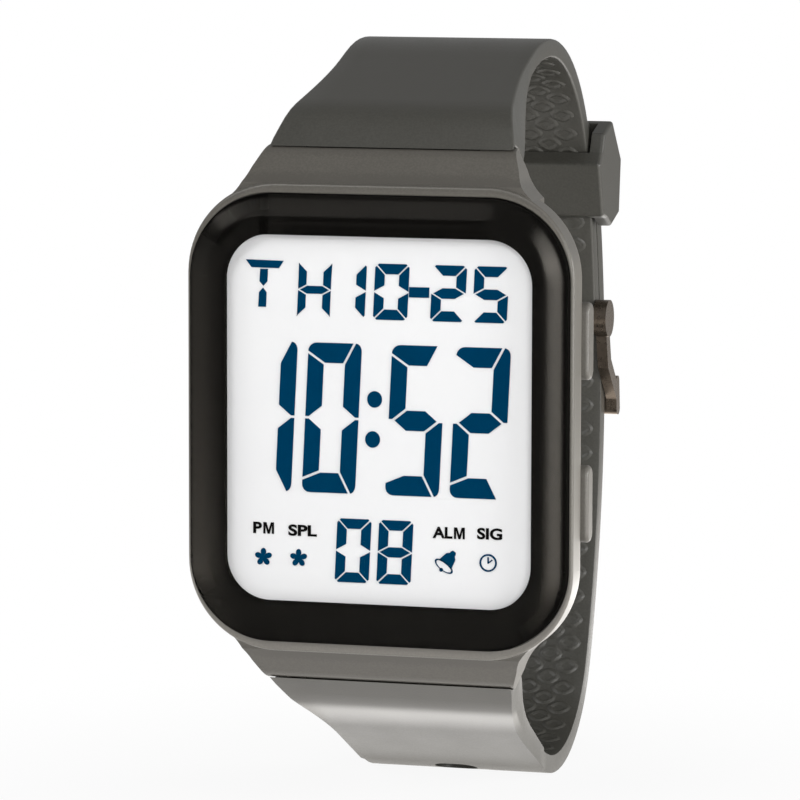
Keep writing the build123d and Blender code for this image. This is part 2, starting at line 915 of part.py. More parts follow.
def spring_bar(half_barrel, tip_length, radius, tip_radius, place):
    tips = pin(tip_radius, -half_barrel - tip_length, half_barrel + tip_length, *place)
    return tips + pin(radius, -half_barrel, half_barrel, *place)


def lug_spring_bar(level):
    place = bar_place if level > 0 else flipped(bar_place)
    return spring_bar(lug_gap / 2 - lug_side_gap, bar_tip_length, bar_radius, bar_tip_radius, place)


# Buckle. Its pieces are modelled with the bar on the X axis, the crossbar towards -Z and
# the outside of the loop towards +Y, and then set on the bar.


def on_buckle(shape):
    return Pos(0, *buckle_bar_place) * Rot(buckle_lean, 0, 0) * shape


def tail_rise(run):
    """How far the tail's outer face stands above the bar at a distance from it."""
    return math.sqrt(loop_radius ** 2 - run ** 2) - buckle_bar_loop


crossbar_run = buckle_bar_offset - crossbar_offset
crossbar_low = tail_rise(crossbar_run - crossbar_width / 2) + crossbar_gap
crossbar_high = crossbar_low + crossbar_thickness


def link(start, end):
    """A stretch of the arm between two points, with a round joint at its end."""
    web = Line(start, end)
    lean = math.degrees(math.atan2(end[1] - start[1], end[0] - start[0]))
    stretch = Pos(*web.center()) * Rot(0, 0, lean) * Rectangle(web.length, buckle_waist_thickness)
    return stretch + Pos(*end) * Circle(buckle_waist_thickness / 2)


def buckle_frame():
    crossbar_middle = (crossbar_low + crossbar_high) / 2
    knee = (buckle_knee_depth, -buckle_knee_offset)
    ear = Circle(buckle_ear_radius)
    bar = Pos(crossbar_middle, -crossbar_run) * RectangleRounded(
        crossbar_thickness, crossbar_width, crossbar_corner
    )
    arm = ear + bar + link((0, 0), knee) + link(knee, (crossbar_middle, -crossbar_run))
    half = buckle_width / 2
    inside = half - buckle_arm_thickness
    frame = across(arm, half) + across(ear, half + buckle_boss_thickness) - across(ear + arm, inside)
    frame += across(bar, half)
    tips = bar_tip_radius + bore_clearance
    frame -= pin(tips, -half, half, 0, 0)
    notch_half = tongue_width / 2 + tongue_side_gap
    notch = Pos(crossbar_high, -crossbar_run) * Rectangle(2 * crossbar_notch_depth, 2 * crossbar_width)
    return on_buckle(tidied(frame - across(notch, notch_half)))


def buckle_tongue():
    half = tongue_thickness / 2
    top = crossbar_high - crossbar_notch_depth + tongue_gap + half
    outline = FilletPolyline(
        (-half, 0),
        (-half, -tongue_bend_offset - half),
        (top - half, -tongue_bend_offset - half),
        (top - half, -tongue_length),
        (top + half, -tongue_length),
        (top + half, -tongue_bend_offset + half),
        (half, -tongue_bend_offset + half),
        (half, 0),
        radius=[
            tongue_thickness,
            tongue_edge_round,
            tongue_edge_round,
            tongue_edge_round,
            tongue_thickness,
            tongue_edge_round,
        ],
    )
    blade = make_face([outline, Line((half, 0), (-half, 0))])
    tongue = across(blade, tongue_width / 2) + across(Circle(tongue_eye_radius), tongue_width / 2)
    rims = tongue.faces().filter_by(Axis.X).edges()
    tongue = fillet(rims, tongue_side_round)
    bore = across(Circle(buckle_bar_radius + bore_clearance), tongue_width / 2)
    return on_buckle(tidied(tongue - bore))


def buckle_spring_bar():
    half = buckle_width / 2 - buckle_arm_thickness - bore_clearance
    tips = buckle_arm_thickness - bar_tip_gap
    return spring_bar(half, tips, buckle_bar_radius, bar_tip_radius, buckle_bar_place)


# Keeper


def bend_end_offset():
    """The height at which the upper bend runs into the loop."""
    shoulder, slope, bend, loop, under_angle = bend_values(True)
    centre = bend_centre(shoulder, slope, bend, loop)
    lean = math.degrees(math.atan2(centre[1] - loop_centre[1], centre[0] - loop_centre[0]))
    return polar(loop_centre, loop_radius, lean)[1]


keeper_offset = bend_end_offset() - keeper_outer_length / 2 + keeper_bend_overlap


def keeper_width_at_strap():
    """The strap is widest under the end of the keeper that is nearest to the bend."""
    depth = on_loop(inner_loop_radius, keeper_offset + keeper_outer_length / 2)[0]
    share = max(0, (back_taper_end - depth) / (back_taper_end - back_taper_start))
    return strap_tail_width + share * (strap_neck_width - strap_tail_width)


def strap_keeper():
    opening_low = inner_loop_radius - strap_thickness - keeper_face_gap
    opening_high = loop_radius + keeper_face_gap
    low = opening_low - keeper_inner_wall
    high = opening_high + keeper_outer_wall
    inner = keeper_inner_length / 2
    outer = keeper_outer_length / 2
    side = make_face(
        Polyline(
            (low, -inner),
            (low, inner),
            (opening_low, outer - keeper_inner_wall),
            (opening_low + keeper_inner_wall, outer),
            (high - keeper_outer_wall / 2, outer),
            (high + keeper_ridge_thickness, 0),
            (high - keeper_outer_wall / 2, -outer),
            (opening_low + keeper_inner_wall, -outer),
            (opening_low, keeper_inner_wall - outer),
            close=True,
        )
    )
    half = keeper_width_at_strap() / 2 + keeper_side_gap
    angle = loop_angle(loop_radius, keeper_offset)
    block = Pos(0, *loop_centre) * Rot(angle, 0, 0) * across(side, half + keeper_wall)
    block = fillet(block.edges(), keeper_edge_round)
    opening = across(Pos(*loop_centre) * (Circle(opening_high) - Circle(opening_low)), half)
    return tidied(block - opening)


def build():
    nodes = {
        "case_body": case_body(),
        "crystal": crystal(),
        "crystal_mask": crystal_mask(),
        "crystal_gasket": crystal_gasket(),
        "case_back": case_back(),
        "case_back_screws": case_back_screws(),
        "case_back_gasket": case_back_gasket(),
        "lcd_panel": lcd_panel(),
        "light_guide": light_guide(),
        "backlight_lamps": backlight_lamps(),
        "lcd_connectors": lcd_connectors(),
        "module_frame": module_frame(),
        "circuit_board": circuit_board(),
        "timer_chip": timer_chip(),
        "quartz_can": quartz_can(),
        "coin_cell": coin_cell(),
        "cell_clip": cell_clip(),
        "buzzer_disc": buzzer_disc(),
        "buzzer_contact": buzzer_contact(),
        "button_seals": button_seals(),
        "strap_upper": strap_upper(),
        "strap_lower": strap_lower(),
        "lug_spring_bar_upper": lug_spring_bar(1),
        "lug_spring_bar_lower": lug_spring_bar(-1),
        "buckle_spring_bar": buckle_spring_bar(),
        "buckle_frame": buckle_frame(),
        "buckle_tongue": buckle_tongue(),
        "strap_keeper": strap_keeper(),
    }
    for side, level in button_places():
        name = button_name(side, level)
        nodes["button_" + name] = at_button(button(), side, level)
        nodes["button_clip_" + name] = at_button(button_clip(), side, level)
        nodes["button_spring_" + name] = at_button(button_spring(), side, level)
    return nodes


def write(nodes):
    os.makedirs("parts", exist_ok=True)
    for name, shape in nodes.items():
        export_step(shape, os.path.join("parts", name + ".step"))


write(build())
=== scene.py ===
import math
import bmesh
import bpy
from mathutils import Matrix, Vector


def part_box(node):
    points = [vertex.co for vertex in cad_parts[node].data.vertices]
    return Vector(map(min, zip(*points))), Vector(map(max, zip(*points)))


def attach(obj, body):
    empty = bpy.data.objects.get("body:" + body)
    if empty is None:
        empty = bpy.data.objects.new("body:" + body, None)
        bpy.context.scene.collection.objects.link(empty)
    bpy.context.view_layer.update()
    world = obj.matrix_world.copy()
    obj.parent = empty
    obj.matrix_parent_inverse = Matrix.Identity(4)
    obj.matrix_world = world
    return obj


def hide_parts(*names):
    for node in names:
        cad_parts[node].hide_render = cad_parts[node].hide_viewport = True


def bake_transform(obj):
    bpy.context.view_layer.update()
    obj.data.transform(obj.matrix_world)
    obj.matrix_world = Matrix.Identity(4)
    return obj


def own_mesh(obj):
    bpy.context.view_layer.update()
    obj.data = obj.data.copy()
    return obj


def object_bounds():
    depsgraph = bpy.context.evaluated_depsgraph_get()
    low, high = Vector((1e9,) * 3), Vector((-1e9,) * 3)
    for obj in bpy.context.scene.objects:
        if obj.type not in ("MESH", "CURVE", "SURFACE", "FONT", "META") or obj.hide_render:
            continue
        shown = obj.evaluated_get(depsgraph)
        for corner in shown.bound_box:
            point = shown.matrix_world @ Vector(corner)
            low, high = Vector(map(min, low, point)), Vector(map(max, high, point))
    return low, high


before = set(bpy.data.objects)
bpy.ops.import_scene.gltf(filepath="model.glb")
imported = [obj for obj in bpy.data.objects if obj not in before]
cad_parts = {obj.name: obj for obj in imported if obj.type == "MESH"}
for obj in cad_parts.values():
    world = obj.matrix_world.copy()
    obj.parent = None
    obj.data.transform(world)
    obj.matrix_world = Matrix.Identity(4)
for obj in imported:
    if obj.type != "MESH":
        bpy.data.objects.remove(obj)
cad_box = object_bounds()

# Case back: a brushed stainless plate let into the resin, on a rubber ring, held by four
# slotted screws. The frame gives its shape; only the finish is made here.
MM = 0.001


class Wire:
    """One output of a material's nodes. An expression on wires adds its Math nodes."""

    def __init__(self, graph, socket):
        self.graph = graph
        self.socket = socket

    def calc(self, operation, *values):
        return self.graph.node("ShaderNodeMath", {"operation": operation}, dict(enumerate(values)))

    def __add__(self, other):
        return self.calc("ADD", self, other)

    def __radd__(self, other):
        return self.calc("ADD", other, self)

    def __sub__(self, other):
        return self.calc("SUBTRACT", self, other)

    def __rsub__(self, other):
        return self.calc("SUBTRACT", other, self)

    def __mul__(self, other):
        return self.calc("MULTIPLY", self, other)

    def __rmul__(self, other):
        return self.calc("MULTIPLY", other, self)

    def __pow__(self, other):
        return self.calc("POWER", self, other)

    def __abs__(self):
        return self.calc("ABSOLUTE", self)

    def rise(self, low, high):
        """0 below low, 1 above high, and smooth between them."""
        settings = {"interpolation_type": "SMOOTHSTEP"}
        return self.graph.node("ShaderNodeMapRange", settings, {"Value": self, 1: low, 2: high})


class Graph:
    """A tree of shader nodes."""

    def __init__(self, tree):
        self.tree = tree

    def join(self, value, socket):
        if isinstance(value, Wire):
            self.tree.links.new(value.socket, socket)
        else:
            socket.default_value = value

    def node(self, kind, settings={}, inputs={}, output=0):
        """Adds a node with its settings and the values or wires of its sockets."""
        made = self.tree.nodes.new(kind)
        for name, value in settings.items():
            setattr(made, name, value)
        for socket, value in inputs.items():
            self.join(value, made.inputs[socket])
        return Wire(self, made.outputs[output])


class Finish(Graph):
    """A material: its Principled shader and the nodes that feed it."""

    def __init__(self, name, sockets={}):
        self.material = bpy.data.materials.new(name)
        self.material.use_nodes = True
        super().__init__(self.material.node_tree)
        self.shader = self.tree.nodes["Principled BSDF"]
        for socket, value in sockets.items():
            self.feed(socket, value)

    def feed(self, socket, value):
        self.join(value, self.shader.inputs[socket])

    def place(self, stretch=(1, 1, 1)):
        """The point on the object in millimetres, stretched along each axis."""
        point = self.node("ShaderNodeTexCoord", output=3)
        factors = tuple(share / MM for share in stretch)
        return self.node("ShaderNodeVectorMath", {"operation": "MULTIPLY"}, {0: point, 1: factors})

    def noise(self, size, detail=2.0, stretch=(1, 1, 1)):
        """Noise between 0 and 1 with spots of about that size in millimetres."""
        inputs = {"Vector": self.place(stretch), "Scale": 1 / size, "Detail": detail}
        return self.node("ShaderNodeTexNoise", {}, inputs)

    def axis(self, name):
        """One coordinate of the object in millimetres."""
        return self.node("ShaderNodeSeparateXYZ", {}, {0: self.place()}, output="XYZ".index(name))

    def mix(self, share, first, second):
        settings = {"data_type": "RGBA"}
        return self.node("ShaderNodeMix", settings, {0: share, 6: first, 7: second}, output=2)

    def bump(self, height, depth):
        """Relief with that depth in millimetres."""
        inputs = {"Height": height, "Distance": depth * MM, "Strength": 1.0}
        self.feed("Normal", self.node("ShaderNodeBump", {}, inputs))

    def show(self, shader):
        """Makes another shader the material's surface."""
        self.join(shader, self.tree.nodes["Material Output"].inputs["Surface"])


def tone(red, green, blue):
    """A colour from the 0 to 255 values it is seen with."""
    shares = [value / 255 for value in (red, green, blue)]
    linear = [v / 12.92 if v <= 0.04045 else ((v + 0.055) / 1.055) ** 2.4 for v in shares]
    return (*linear, 1.0)


def scaled(colour, share):
    """The same colour, darker for a share below 1 and lighter for one above it."""
    return tuple(share * value for value in colour[:3]) + (1.0,)


def dress(finish, *nodes):
    """Gives CAD nodes their finish."""
    for name in nodes:
        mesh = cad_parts[name].data
        mesh.materials.clear()
        mesh.materials.append(finish.material)


def metal(name, colour, roughness, grain, stretch=(1, 1, 1), depth=0.004):
    """Metal whose fine marks change how sharp its reflections are."""
    finish = Finish(name, {"Metallic": 1.0})
    marks = finish.noise(grain, 3.0, stretch)
    stains = finish.noise(4.0)
    finish.feed("Base Color", finish.mix(stains, scaled(colour, 0.8), colour))
    finish.feed("Roughness", roughness + (marks - 0.5) * 0.18)
    finish.bump(marks, depth)
    return finish


brushed_steel = metal("brushed_steel", tone(196, 195, 192), 0.3, 0.12, (0.03, 1, 1))
dress(brushed_steel, "case_back")
dress(metal("screw_steel", tone(168, 167, 165), 0.26, 0.3), "case_back_screws")


def rubber(name, colour, roughness=0.6):
    """Plain rubber or epoxy with a little dust on it."""
    finish = Finish(name)
    dust = finish.noise(0.35, 3.0)
    finish.feed("Base Color", finish.mix(dust.rise(0.4, 0.8), colour, scaled(colour, 1.5)))
    finish.feed("Roughness", roughness + (dust - 0.5) * 0.2)
    finish.bump(dust, 0.01)
    return finish


seal_rubber = rubber("seal_rubber", tone(34, 33, 33))
dress(seal_rubber, "case_back_gasket", "crystal_gasket", "button_seals")

# Case: one moulding of dark grey resin with a fine satin grain, its rim, its two hoods and its lugs
# included. The module goes in from behind.
# The rim is painted paler as a highlight, and the groove beside it is painted darker as shade.
LENS_CORNER = 8.7


def resin(name, colour, roughness, grain=0.22, depth=0.006, painted_light=None):
    """Moulded resin with a fine even grain and faint clouds, with painted highlight and shade added
    where a mask is given.
    """
    finish = Finish(name)
    speckle = finish.noise(grain)
    cloud = finish.noise(5.0, 3.0)
    share = speckle.rise(0.3, 0.7) * 0.24 + cloud * 0.16
    if painted_light:
        # painted light: highlight and shade added to the colour
        share = share + painted_light(finish)
    finish.feed("Base Color", finish.mix(share, scaled(colour, 0.84), scaled(colour, 1.6)))
    finish.feed("Roughness", roughness + (speckle - 0.5) * 0.16 + (cloud - 0.5) * 0.08)
    finish.bump(speckle, depth)
    return finish


def past(finish, name, limit):
    """How far a point lies beyond a limit on either side along one axis, and 0 within it."""
    beyond = abs(finish.axis(name)) - limit
    return beyond.calc("MAXIMUM", beyond, 0.0)


def from_middle(finish, inset_x=0.0, inset_z=0.0, corner=LENS_CORNER):
    """The distance from the middle part of a round-cornered outline, which is that of the
    window drawn in by the insets. At the outline itself it is the corner's radius."""
    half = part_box("crystal")[1] / MM
    across = past(finish, "X", half.x - inset_x - corner)
    up = past(finish, "Z", half.z - inset_z - corner)
    return (across ** 2 + up ** 2) ** 0.5


def rim(finish):
    """1 on the rim round the window, which is narrow above it and wide below it."""
    z = finish.axis("Z")
    reach = from_middle(finish)
    outer = reach + z.rise(15.0, 20.0) * 0.35 - (0 - z).rise(15.0, 20.0) * 0.3
    return reach.rise(8.6, 8.9) * (1 - outer.rise(9.25, 9.7))


def painted_rim_highlight_groove_shade(finish):
    """Painted highlight on the rim, and painted shade in the groove between it and the hoods."""
    reach = from_middle(finish)
    ends = abs(finish.axis("Z")).rise(18.0, 21.0)
    groove = reach.rise(9.5, 10.1) * (1 - reach.rise(10.3, 11.2)) * ends
    return rim(finish) * 0.5 - groove * 0.25


# the rim's painted highlight and the groove's painted shade go into the case colour
case_resin = resin("case_resin", tone(92, 89, 83), 0.34, painted_light=painted_rim_highlight_groove_shade)
case_resin.feed("Coat Roughness", 0.3)
case_resin.feed("Coat Weight", rim(case_resin) * (0 - case_resin.axis("Z")).rise(8.0, 20.0))
dress(case_resin, "case_body")

# Module: the moulded tray with the circuit board, its timer chip, the quartz can, the coin
# cell under its steel clip, and the buzzer with its contact. It hides behind the display.
tray_plastic = resin("tray_plastic", tone(225, 222, 212), 0.5, 0.4, 0.01)
dress(tray_plastic, "module_frame")


def circuit_lacquer():
    """Green lacquer over copper tracks."""
    finish = Finish("circuit_lacquer", {"Coat Weight": 0.4, "Coat Roughness": 0.15})
    x = finish.axis("X")
    z = finish.axis("Z")
    across = abs(x.calc("SINE", x * 4.2)).rise(0.8, 0.9)
    along = abs(z.calc("SINE", z * 3.1)).rise(0.84, 0.92)
    patches = finish.noise(3.2, 1.0).rise(0.48, 0.52)
    tracks = across * patches + along * (1 - patches)
    finish.feed("Base Color", finish.mix(tracks, tone(18, 74, 40), tone(52, 122, 66)))
    finish.feed("Roughness", 0.38 - tracks * 0.1)
    finish.bump(tracks, 0.03)
    return finish


dress(circuit_lacquer(), "circuit_board")
dress(rubber("chip_epoxy", tone(30, 30, 32), 0.5), "timer_chip")
dress(metal("quartz_nickel", tone(190, 190, 186), 0.28, 0.5), "quartz_can")
dress(metal("cell_steel", tone(200, 200, 200), 0.25, 0.2), "coin_cell")
dress(metal("clip_steel", tone(180, 178, 172), 0.3, 0.2), "cell_clip")
dress(metal("buzzer_brass", tone(201, 166, 92), 0.32, 0.3), "buzzer_disc", "buzzer_contact")
dress(rubber("zebra_rubber", tone(70, 70, 78), 0.5), "lcd_connectors")


def lamp_plastic():
    """Clear yellowish resin over the two lamps."""
    finish = Finish("lamp_plastic", {"Coat Weight": 0.6})
    haze = finish.noise(0.6, 1.0)
    finish.feed("Base Color", finish.mix(haze, tone(240, 226, 150), tone(250, 244, 214)))
    finish.feed("Roughness", 0.25 + haze * 0.1)
    return finish


def guide_acrylic():
    """Frosted acrylic with the moulded dots that send the light forwards."""
    finish = Finish("guide_acrylic", {"Coat Weight": 0.5})
    dots = finish.node("ShaderNodeTexVoronoi", {}, {"Vector": finish.place(), "Scale": 1.6})
    spots = 1 - dots.rise(0.2, 0.3)
    finish.feed("Base Color", finish.mix(spots, tone(214, 222, 226), tone(244, 246, 247)))
    finish.feed("Roughness", 0.3 + spots * 0.25)
    finish.bump(spots, 0.05)
    return finish


dress(lamp_plastic(), "backlight_lamps")
dress(guide_acrylic(), "light_guide")

# Display: a white reflective segment panel. Its lit segments are dark blue and stand just
# above the reflector, so they throw a thin shadow, and its labels are printed in black.
PANEL_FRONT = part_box("lcd_panel")[0].y
SEGMENT_DEPTH = 0.1 * MM
SLANT = 0.048


def panel_glass():
    """The white reflector, seen through glass that doesn't shine."""
    finish = Finish("panel_glass", {"Specular IOR Level": 0.0})
    haze = finish.noise(9.0)
    finish.feed("Base Color", finish.mix(haze, tone(240, 240, 241), tone(244, 244, 244)))
    finish.feed("Roughness", 0.55 + haze * 0.08)
    return finish


dress(panel_glass(), "lcd_panel")


def segment_ink(name, colour):
    """A flat film of one colour, a little uneven."""
    finish = Finish(name, {"Specular IOR Level": 0.0})
    film = finish.noise(2.2)
    finish.feed("Base Color", finish.mix(film, scaled(colour, 0.86), colour))
    finish.feed("Roughness", 0.45 + film * 0.1)
    return finish


def piece(name, shape, finish, body, replaced=(), sharp=38.0):
    """Makes a finished mesh a piece of the object, in its material and on its body. Its
    shading is smooth where faces meet at less than the sharp angle."""
    mesh = bpy.data.meshes.new(name)
    shape.to_mesh(mesh)
    shape.free()
    mesh.shade_smooth()
    mesh.set_sharp_from_angle(angle=math.radians(sharp))
    mesh.materials.append(finish.material)
    made = bpy.data.objects.new(name, mesh)
    bpy.context.scene.collection.objects.link(made)
    if isinstance(body, str):
        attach(made, body)
    if replaced:
        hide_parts(*replaced)
    return made


def flat(shape, corners, round_off=(), radius=0.0):
    """A flat face from its corners (millimetres, seen from the front), some rounded off."""
    verts = [shape.verts.new((x * MM, PANEL_FRONT, z * MM)) for x, z in corners]
    shape.faces.new(verts)
    rounded = [verts[index] for index in round_off]
    if rounded:
        bmesh.ops.bevel(shape, geom=rounded, offset=radius * MM, segments=5, profile=0.5,
                        affect="VERTICES", material=-1)


def thicken(shape, faces):
    """Lifts flat faces off the panel by the depth of a segment. A face drawn the other way
    round would give a body that is inside out, so the whole body is turned."""
    grown = bmesh.ops.extrude_face_region(shape, geom=faces)["geom"]
    lifted = [item for item in grown if isinstance(item, bmesh.types.BMVert)]
    bmesh.ops.translate(shape, verts=lifted, vec=(0, -SEGMENT_DEPTH, 0))
    bmesh.ops.recalc_face_normals(shape, faces=shape.faces[:])
    for front in (item for item in grown if isinstance(item, bmesh.types.BMFace)):
        if front.normal.y > 0:
            sides = {face for edge in front.edges for face in edge.link_faces}
            whole = {face for side in sides for edge in side.edges for face in edge.link_faces}
            bmesh.ops.reverse_faces(shape, faces=list(whole))


def on_panel(x, z, turn=0.0, squeeze=1.0):
    """The matrix that puts a drawing on the panel, turned and squeezed in its height."""
    place = Matrix.Translation((x * MM, PANEL_FRONT, z * MM))
    upright = Matrix.Rotation(math.radians(turn), 4, "Y") @ Matrix.Rotation(math.pi / 2, 4, "X")
    return place @ upright @ Matrix.Scale(squeeze, 4, (0, 1, 0))


LIT = {"0": "abcdef", "1": "bc", "2": "abdeg", "5": "acdfg", "8": "abcdefg", "H": "bcefg"}


def digit(shape, glyph, left, low, width, height, upright, level, cuts, blunt, radius=0.0, chamfer=0.0):
    """The lit segments of one figure. Upright and level are the widths of its strokes, and
    cuts are the places where its four corner joints meet the outline."""
    middle = height / 2
    inner = [(upright, height - level), (width - upright, height - level),
             (width - upright, middle + level / 2), (upright, middle + level / 2),
             (upright, middle - level / 2), (width - upright, middle - level / 2),
             (width - upright, level), (upright, level)]
    left_mid, right_mid = (0, middle), (width, middle)
    left_tip, right_tip = (blunt, middle), (width - blunt, middle)
    corners = [(0, height), (width, height), (width, 0), (0, 0)]
    flank, cap = [], []
    for (x, z), cut in zip(corners, cuts):
        if chamfer:
            flank.append([(x, z + math.copysign(chamfer, middle - z))])
            cap.append([(x + math.copysign(chamfer, width / 2 - x), z)])
        else:
            flank.append([(x, z)] if cut[0] != x else [])
            cap.append([(x, z)] if cut[0] == x else [])
    outlines = {
        "a": [cuts[0], *cap[0], *cap[1], cuts[1], inner[1], inner[0]],
        "b": [cuts[1], *flank[1], right_mid, right_tip, inner[2], inner[1]],
        "c": [right_mid, *flank[2], cuts[2], inner[6], inner[5], right_tip],
        "d": [cuts[3], inner[7], inner[6], cuts[2], *cap[2], *cap[3]],
        "e": [left_mid, left_tip, inner[4], inner[7], cuts[3], *flank[3]],
        "f": [cuts[0], inner[0], inner[3], left_tip, left_mid, *flank[0]],
        "g": [left_tip, inner[3], inner[2], right_tip, inner[5], inner[4]],
    }
    for name in LIT[glyph]:
        rounds = [index for index, point in enumerate(outlines[name]) if point in corners]
        flat(shape, [(left + x + SLANT * z, low + z) for x, z in outlines[name]], rounds, radius)


def shrink(shape, gap):
    """Draws every flat face in from its outline, which leaves the gaps between segments."""
    kept = shape.faces[:]
    shape.normal_update()
    bmesh.ops.inset_individual(shape, faces=kept, thickness=gap * MM / 2, use_even_offset=True)
    rims = [face for face in shape.faces if face not in set(kept)]
    bmesh.ops.delete(shape, geom=rims, context="FACES")


def corner_cuts(width, height, down_left, in_right, in_low_right, up_left):
    """Where the four corner joints of a figure meet its outline."""
    return [(0, height - down_left), (width - in_right, height), (width - in_low_right, 0), (0, up_left)]


def even_cuts(width, height, chamfer):
    """Corner joints that run to the middle of small chamfers."""
    half = chamfer / 2
    return [(half, height - half), (width - half, height - half), (width - half, half), (half, half)]


def row_of(shape, glyphs, low, width, height, upright, level, chamfer):
    """A row of the small figures, from pairs of a figure and its left side."""
    cuts = even_cuts(width, height, chamfer)
    for glyph, left in glyphs:
        digit(shape, glyph, left, low, width, height, upright, level, cuts, 0.12, chamfer=chamfer)


def add(shape, other):
    """Moves the faces of another bmesh into a shape."""
    mesh = bpy.data.meshes.new("added")
    other.to_mesh(mesh)
    other.free()
    shape.from_mesh(mesh)
    bpy.data.meshes.remove(mesh)


def time_figures():
    """The large hours and minutes, as flat faces on the panel."""
    shape = bmesh.new()
    wide, tall, low = 6.05, 16.0, -7.86
    cuts = corner_cuts(wide, tall, 1.05, 0.85, 0.7, 1.5)
    for glyph, left in (("1", -15.6), ("0", -8.62), ("5", 0.44), ("2", 7.38)):
        digit(shape, glyph, left, low, wide, tall, 2.0, 2.36, cuts, 0.55, radius=1.0)
    shrink(shape, 0.27)
    return shape


def small_figures():
    """The day and the date above the time, the seconds below it, and the colon's two dots.
    The T of the day is drawn as three segments and the date has a dash."""
    shape = bmesh.new()
    date = (("1", -5.46), ("0", -0.86), ("2", 5.29), ("5", 9.8))
    row_of(shape, date, 10.5, 3.84, 6.0, 1.22, 1.24, 0.42)
    row_of(shape, (("H", -9.1),), 10.6, 3.7, 5.8, 1.02, 0.98, 0.1)
    row_of(shape, (("0", -4.98), ("8", -0.44)), -17.16, 3.86, 6.88, 1.22, 1.22, 0.42)
    shrink(shape, 0.17)
    flat(shape, [(-14.57, 16.5), (-10.47, 16.44), (-10.98, 15.66), (-13.96, 15.7)])
    flat(shape, [(-13.02, 15.55), (-12.18, 15.55), (-12.24, 14.25), (-12.68, 13.78), (-13.09, 14.25)])
    flat(shape, [(-12.72, 13.58), (-12.33, 13.1), (-12.4, 11.58), (-13.23, 11.58), (-13.15, 13.1)])
    flat(shape, [(3.14, 14.07), (5.3, 14.07), (5.26, 13.0), (3.1, 13.0)])
    for x, z in ((-0.57, 2.25), (-0.78, -1.95)):
        bmesh.ops.create_circle(shape, cap_ends=True, segments=32, radius=0.8 * MM,
                                matrix=on_panel(x, z, 0, 1.08))
    return shape


def star(shape, x, z):
    """A five-lobed mark: a circle drawn in between its lobes."""
    ring = bmesh.ops.create_circle(shape, cap_ends=True, segments=60, radius=1.0)["verts"]
    for vert in ring:
        angle = math.atan2(vert.co.y, vert.co.x)
        lobe = abs(math.cos(2.5 * (angle - math.pi / 2)))
        vert.co = Vector((vert.co.x, 0, vert.co.y)) * (0.38 + 0.57 * lobe ** 0.8) * MM
    bmesh.ops.translate(shape, verts=ring, vec=(x * MM, PANEL_FRONT, z * MM))


def ring_mark(shape, radius, width, place):
    """A flat ring on the panel, set by a matrix in the panel's plane."""
    ring = bmesh.new()
    bmesh.ops.create_circle(ring, cap_ends=True, segments=40, radius=radius * MM)
    middle = ring.faces[:]
    bmesh.ops.inset_region(ring, faces=middle, thickness=width * MM, use_boundary=True,
                           use_even_offset=True)
    bmesh.ops.delete(ring, geom=middle, context="FACES_ONLY")
    bmesh.ops.transform(ring, matrix=place, verts=ring.verts)
    add(shape, ring)


HALF_BELL = [(0.17, 1.2), (0.3, 1.0), (0.28, 0.85), (0.55, 0.6), (0.66, 0.1), (0.74, -0.3),
             (1.04, -0.62), (0.8, -0.42), (0.3, -0.3)]
BELL = (7.32, -14.42)
BELL_SIZE = 1.08
BELL_TILT = -36.0


def on_bell(x, z):
    """A point of the bell's upright drawing, tilted and in its place."""
    sine, cosine = math.sin(math.radians(BELL_TILT)), math.cos(math.radians(BELL_TILT))
    return BELL[0] + x * cosine - z * sine, BELL[1] + x * sine + z * cosine


def marks(shape):
    """The two stars, the bell with its mouth and clapper, and the clock with its hands."""
    star(shape, -12.69, -14.79)
    star(shape, -8.83, -14.74)
    dome = HALF_BELL + [(-x, z) for x, z in reversed(HALF_BELL)]
    flat(shape, [on_bell(BELL_SIZE * x, BELL_SIZE * z) for x, z in dome])
    ring_mark(shape, 1.14, 0.19, on_panel(*on_bell(0, -0.64), -BELL_TILT, 0.42))
    bmesh.ops.create_circle(shape, cap_ends=True, segments=20, radius=0.2 * MM,
                            matrix=on_panel(*on_bell(0, -1.12)))
    ring_mark(shape, 0.93, 0.18, on_panel(11.71, -14.39))
    flat(shape, [(11.63, -13.8), (11.79, -13.8), (11.79, -14.45), (11.63, -14.45)])
    flat(shape, [(11.72, -14.5), (11.66, -14.38), (12.1, -14.02), (12.2, -14.12)])


figures = time_figures()
add(figures, small_figures())
marks(figures)
thicken(figures, figures.faces[:])
segment_blue = segment_ink("segment_blue", tone(0, 58, 92))
piece("display_figures", figures, segment_blue, "case", sharp=30.0)

LABELS = (("P", -13.8, -12.87, -12.3), ("M", -12.69, -11.54, -12.3), ("SPL", -9.94, -6.84, -12.42),
          ("AL", 5.74, 7.86, -12.02), ("M", 8.04, 9.19, -12.02), ("SIG", 10.53, 13.19, -11.95))
LABEL_HEIGHT = 1.2
LETTER_M = ((0, 0), (0, 1), (0.28, 1), (0.5, 0.3), (0.72, 1), (1, 1), (1, 0), (0.815, 0), (0.815, 0.78),
            (0.59, 0), (0.41, 0), (0.185, 0.78), (0.185, 0))


def written(text):
    """Bold letters of the plain built-in type, as a flat mesh."""
    curve = bpy.data.curves.new("label_" + text, "FONT")
    curve.body = text
    curve.offset = 0.03
    writing = bpy.data.objects.new("label_" + text, curve)
    bpy.context.scene.collection.objects.link(writing)
    bpy.context.view_layer.update()
    mesh = bpy.data.meshes.new_from_object(writing)
    bpy.data.objects.remove(writing)
    bpy.data.curves.remove(curve)
    return mesh


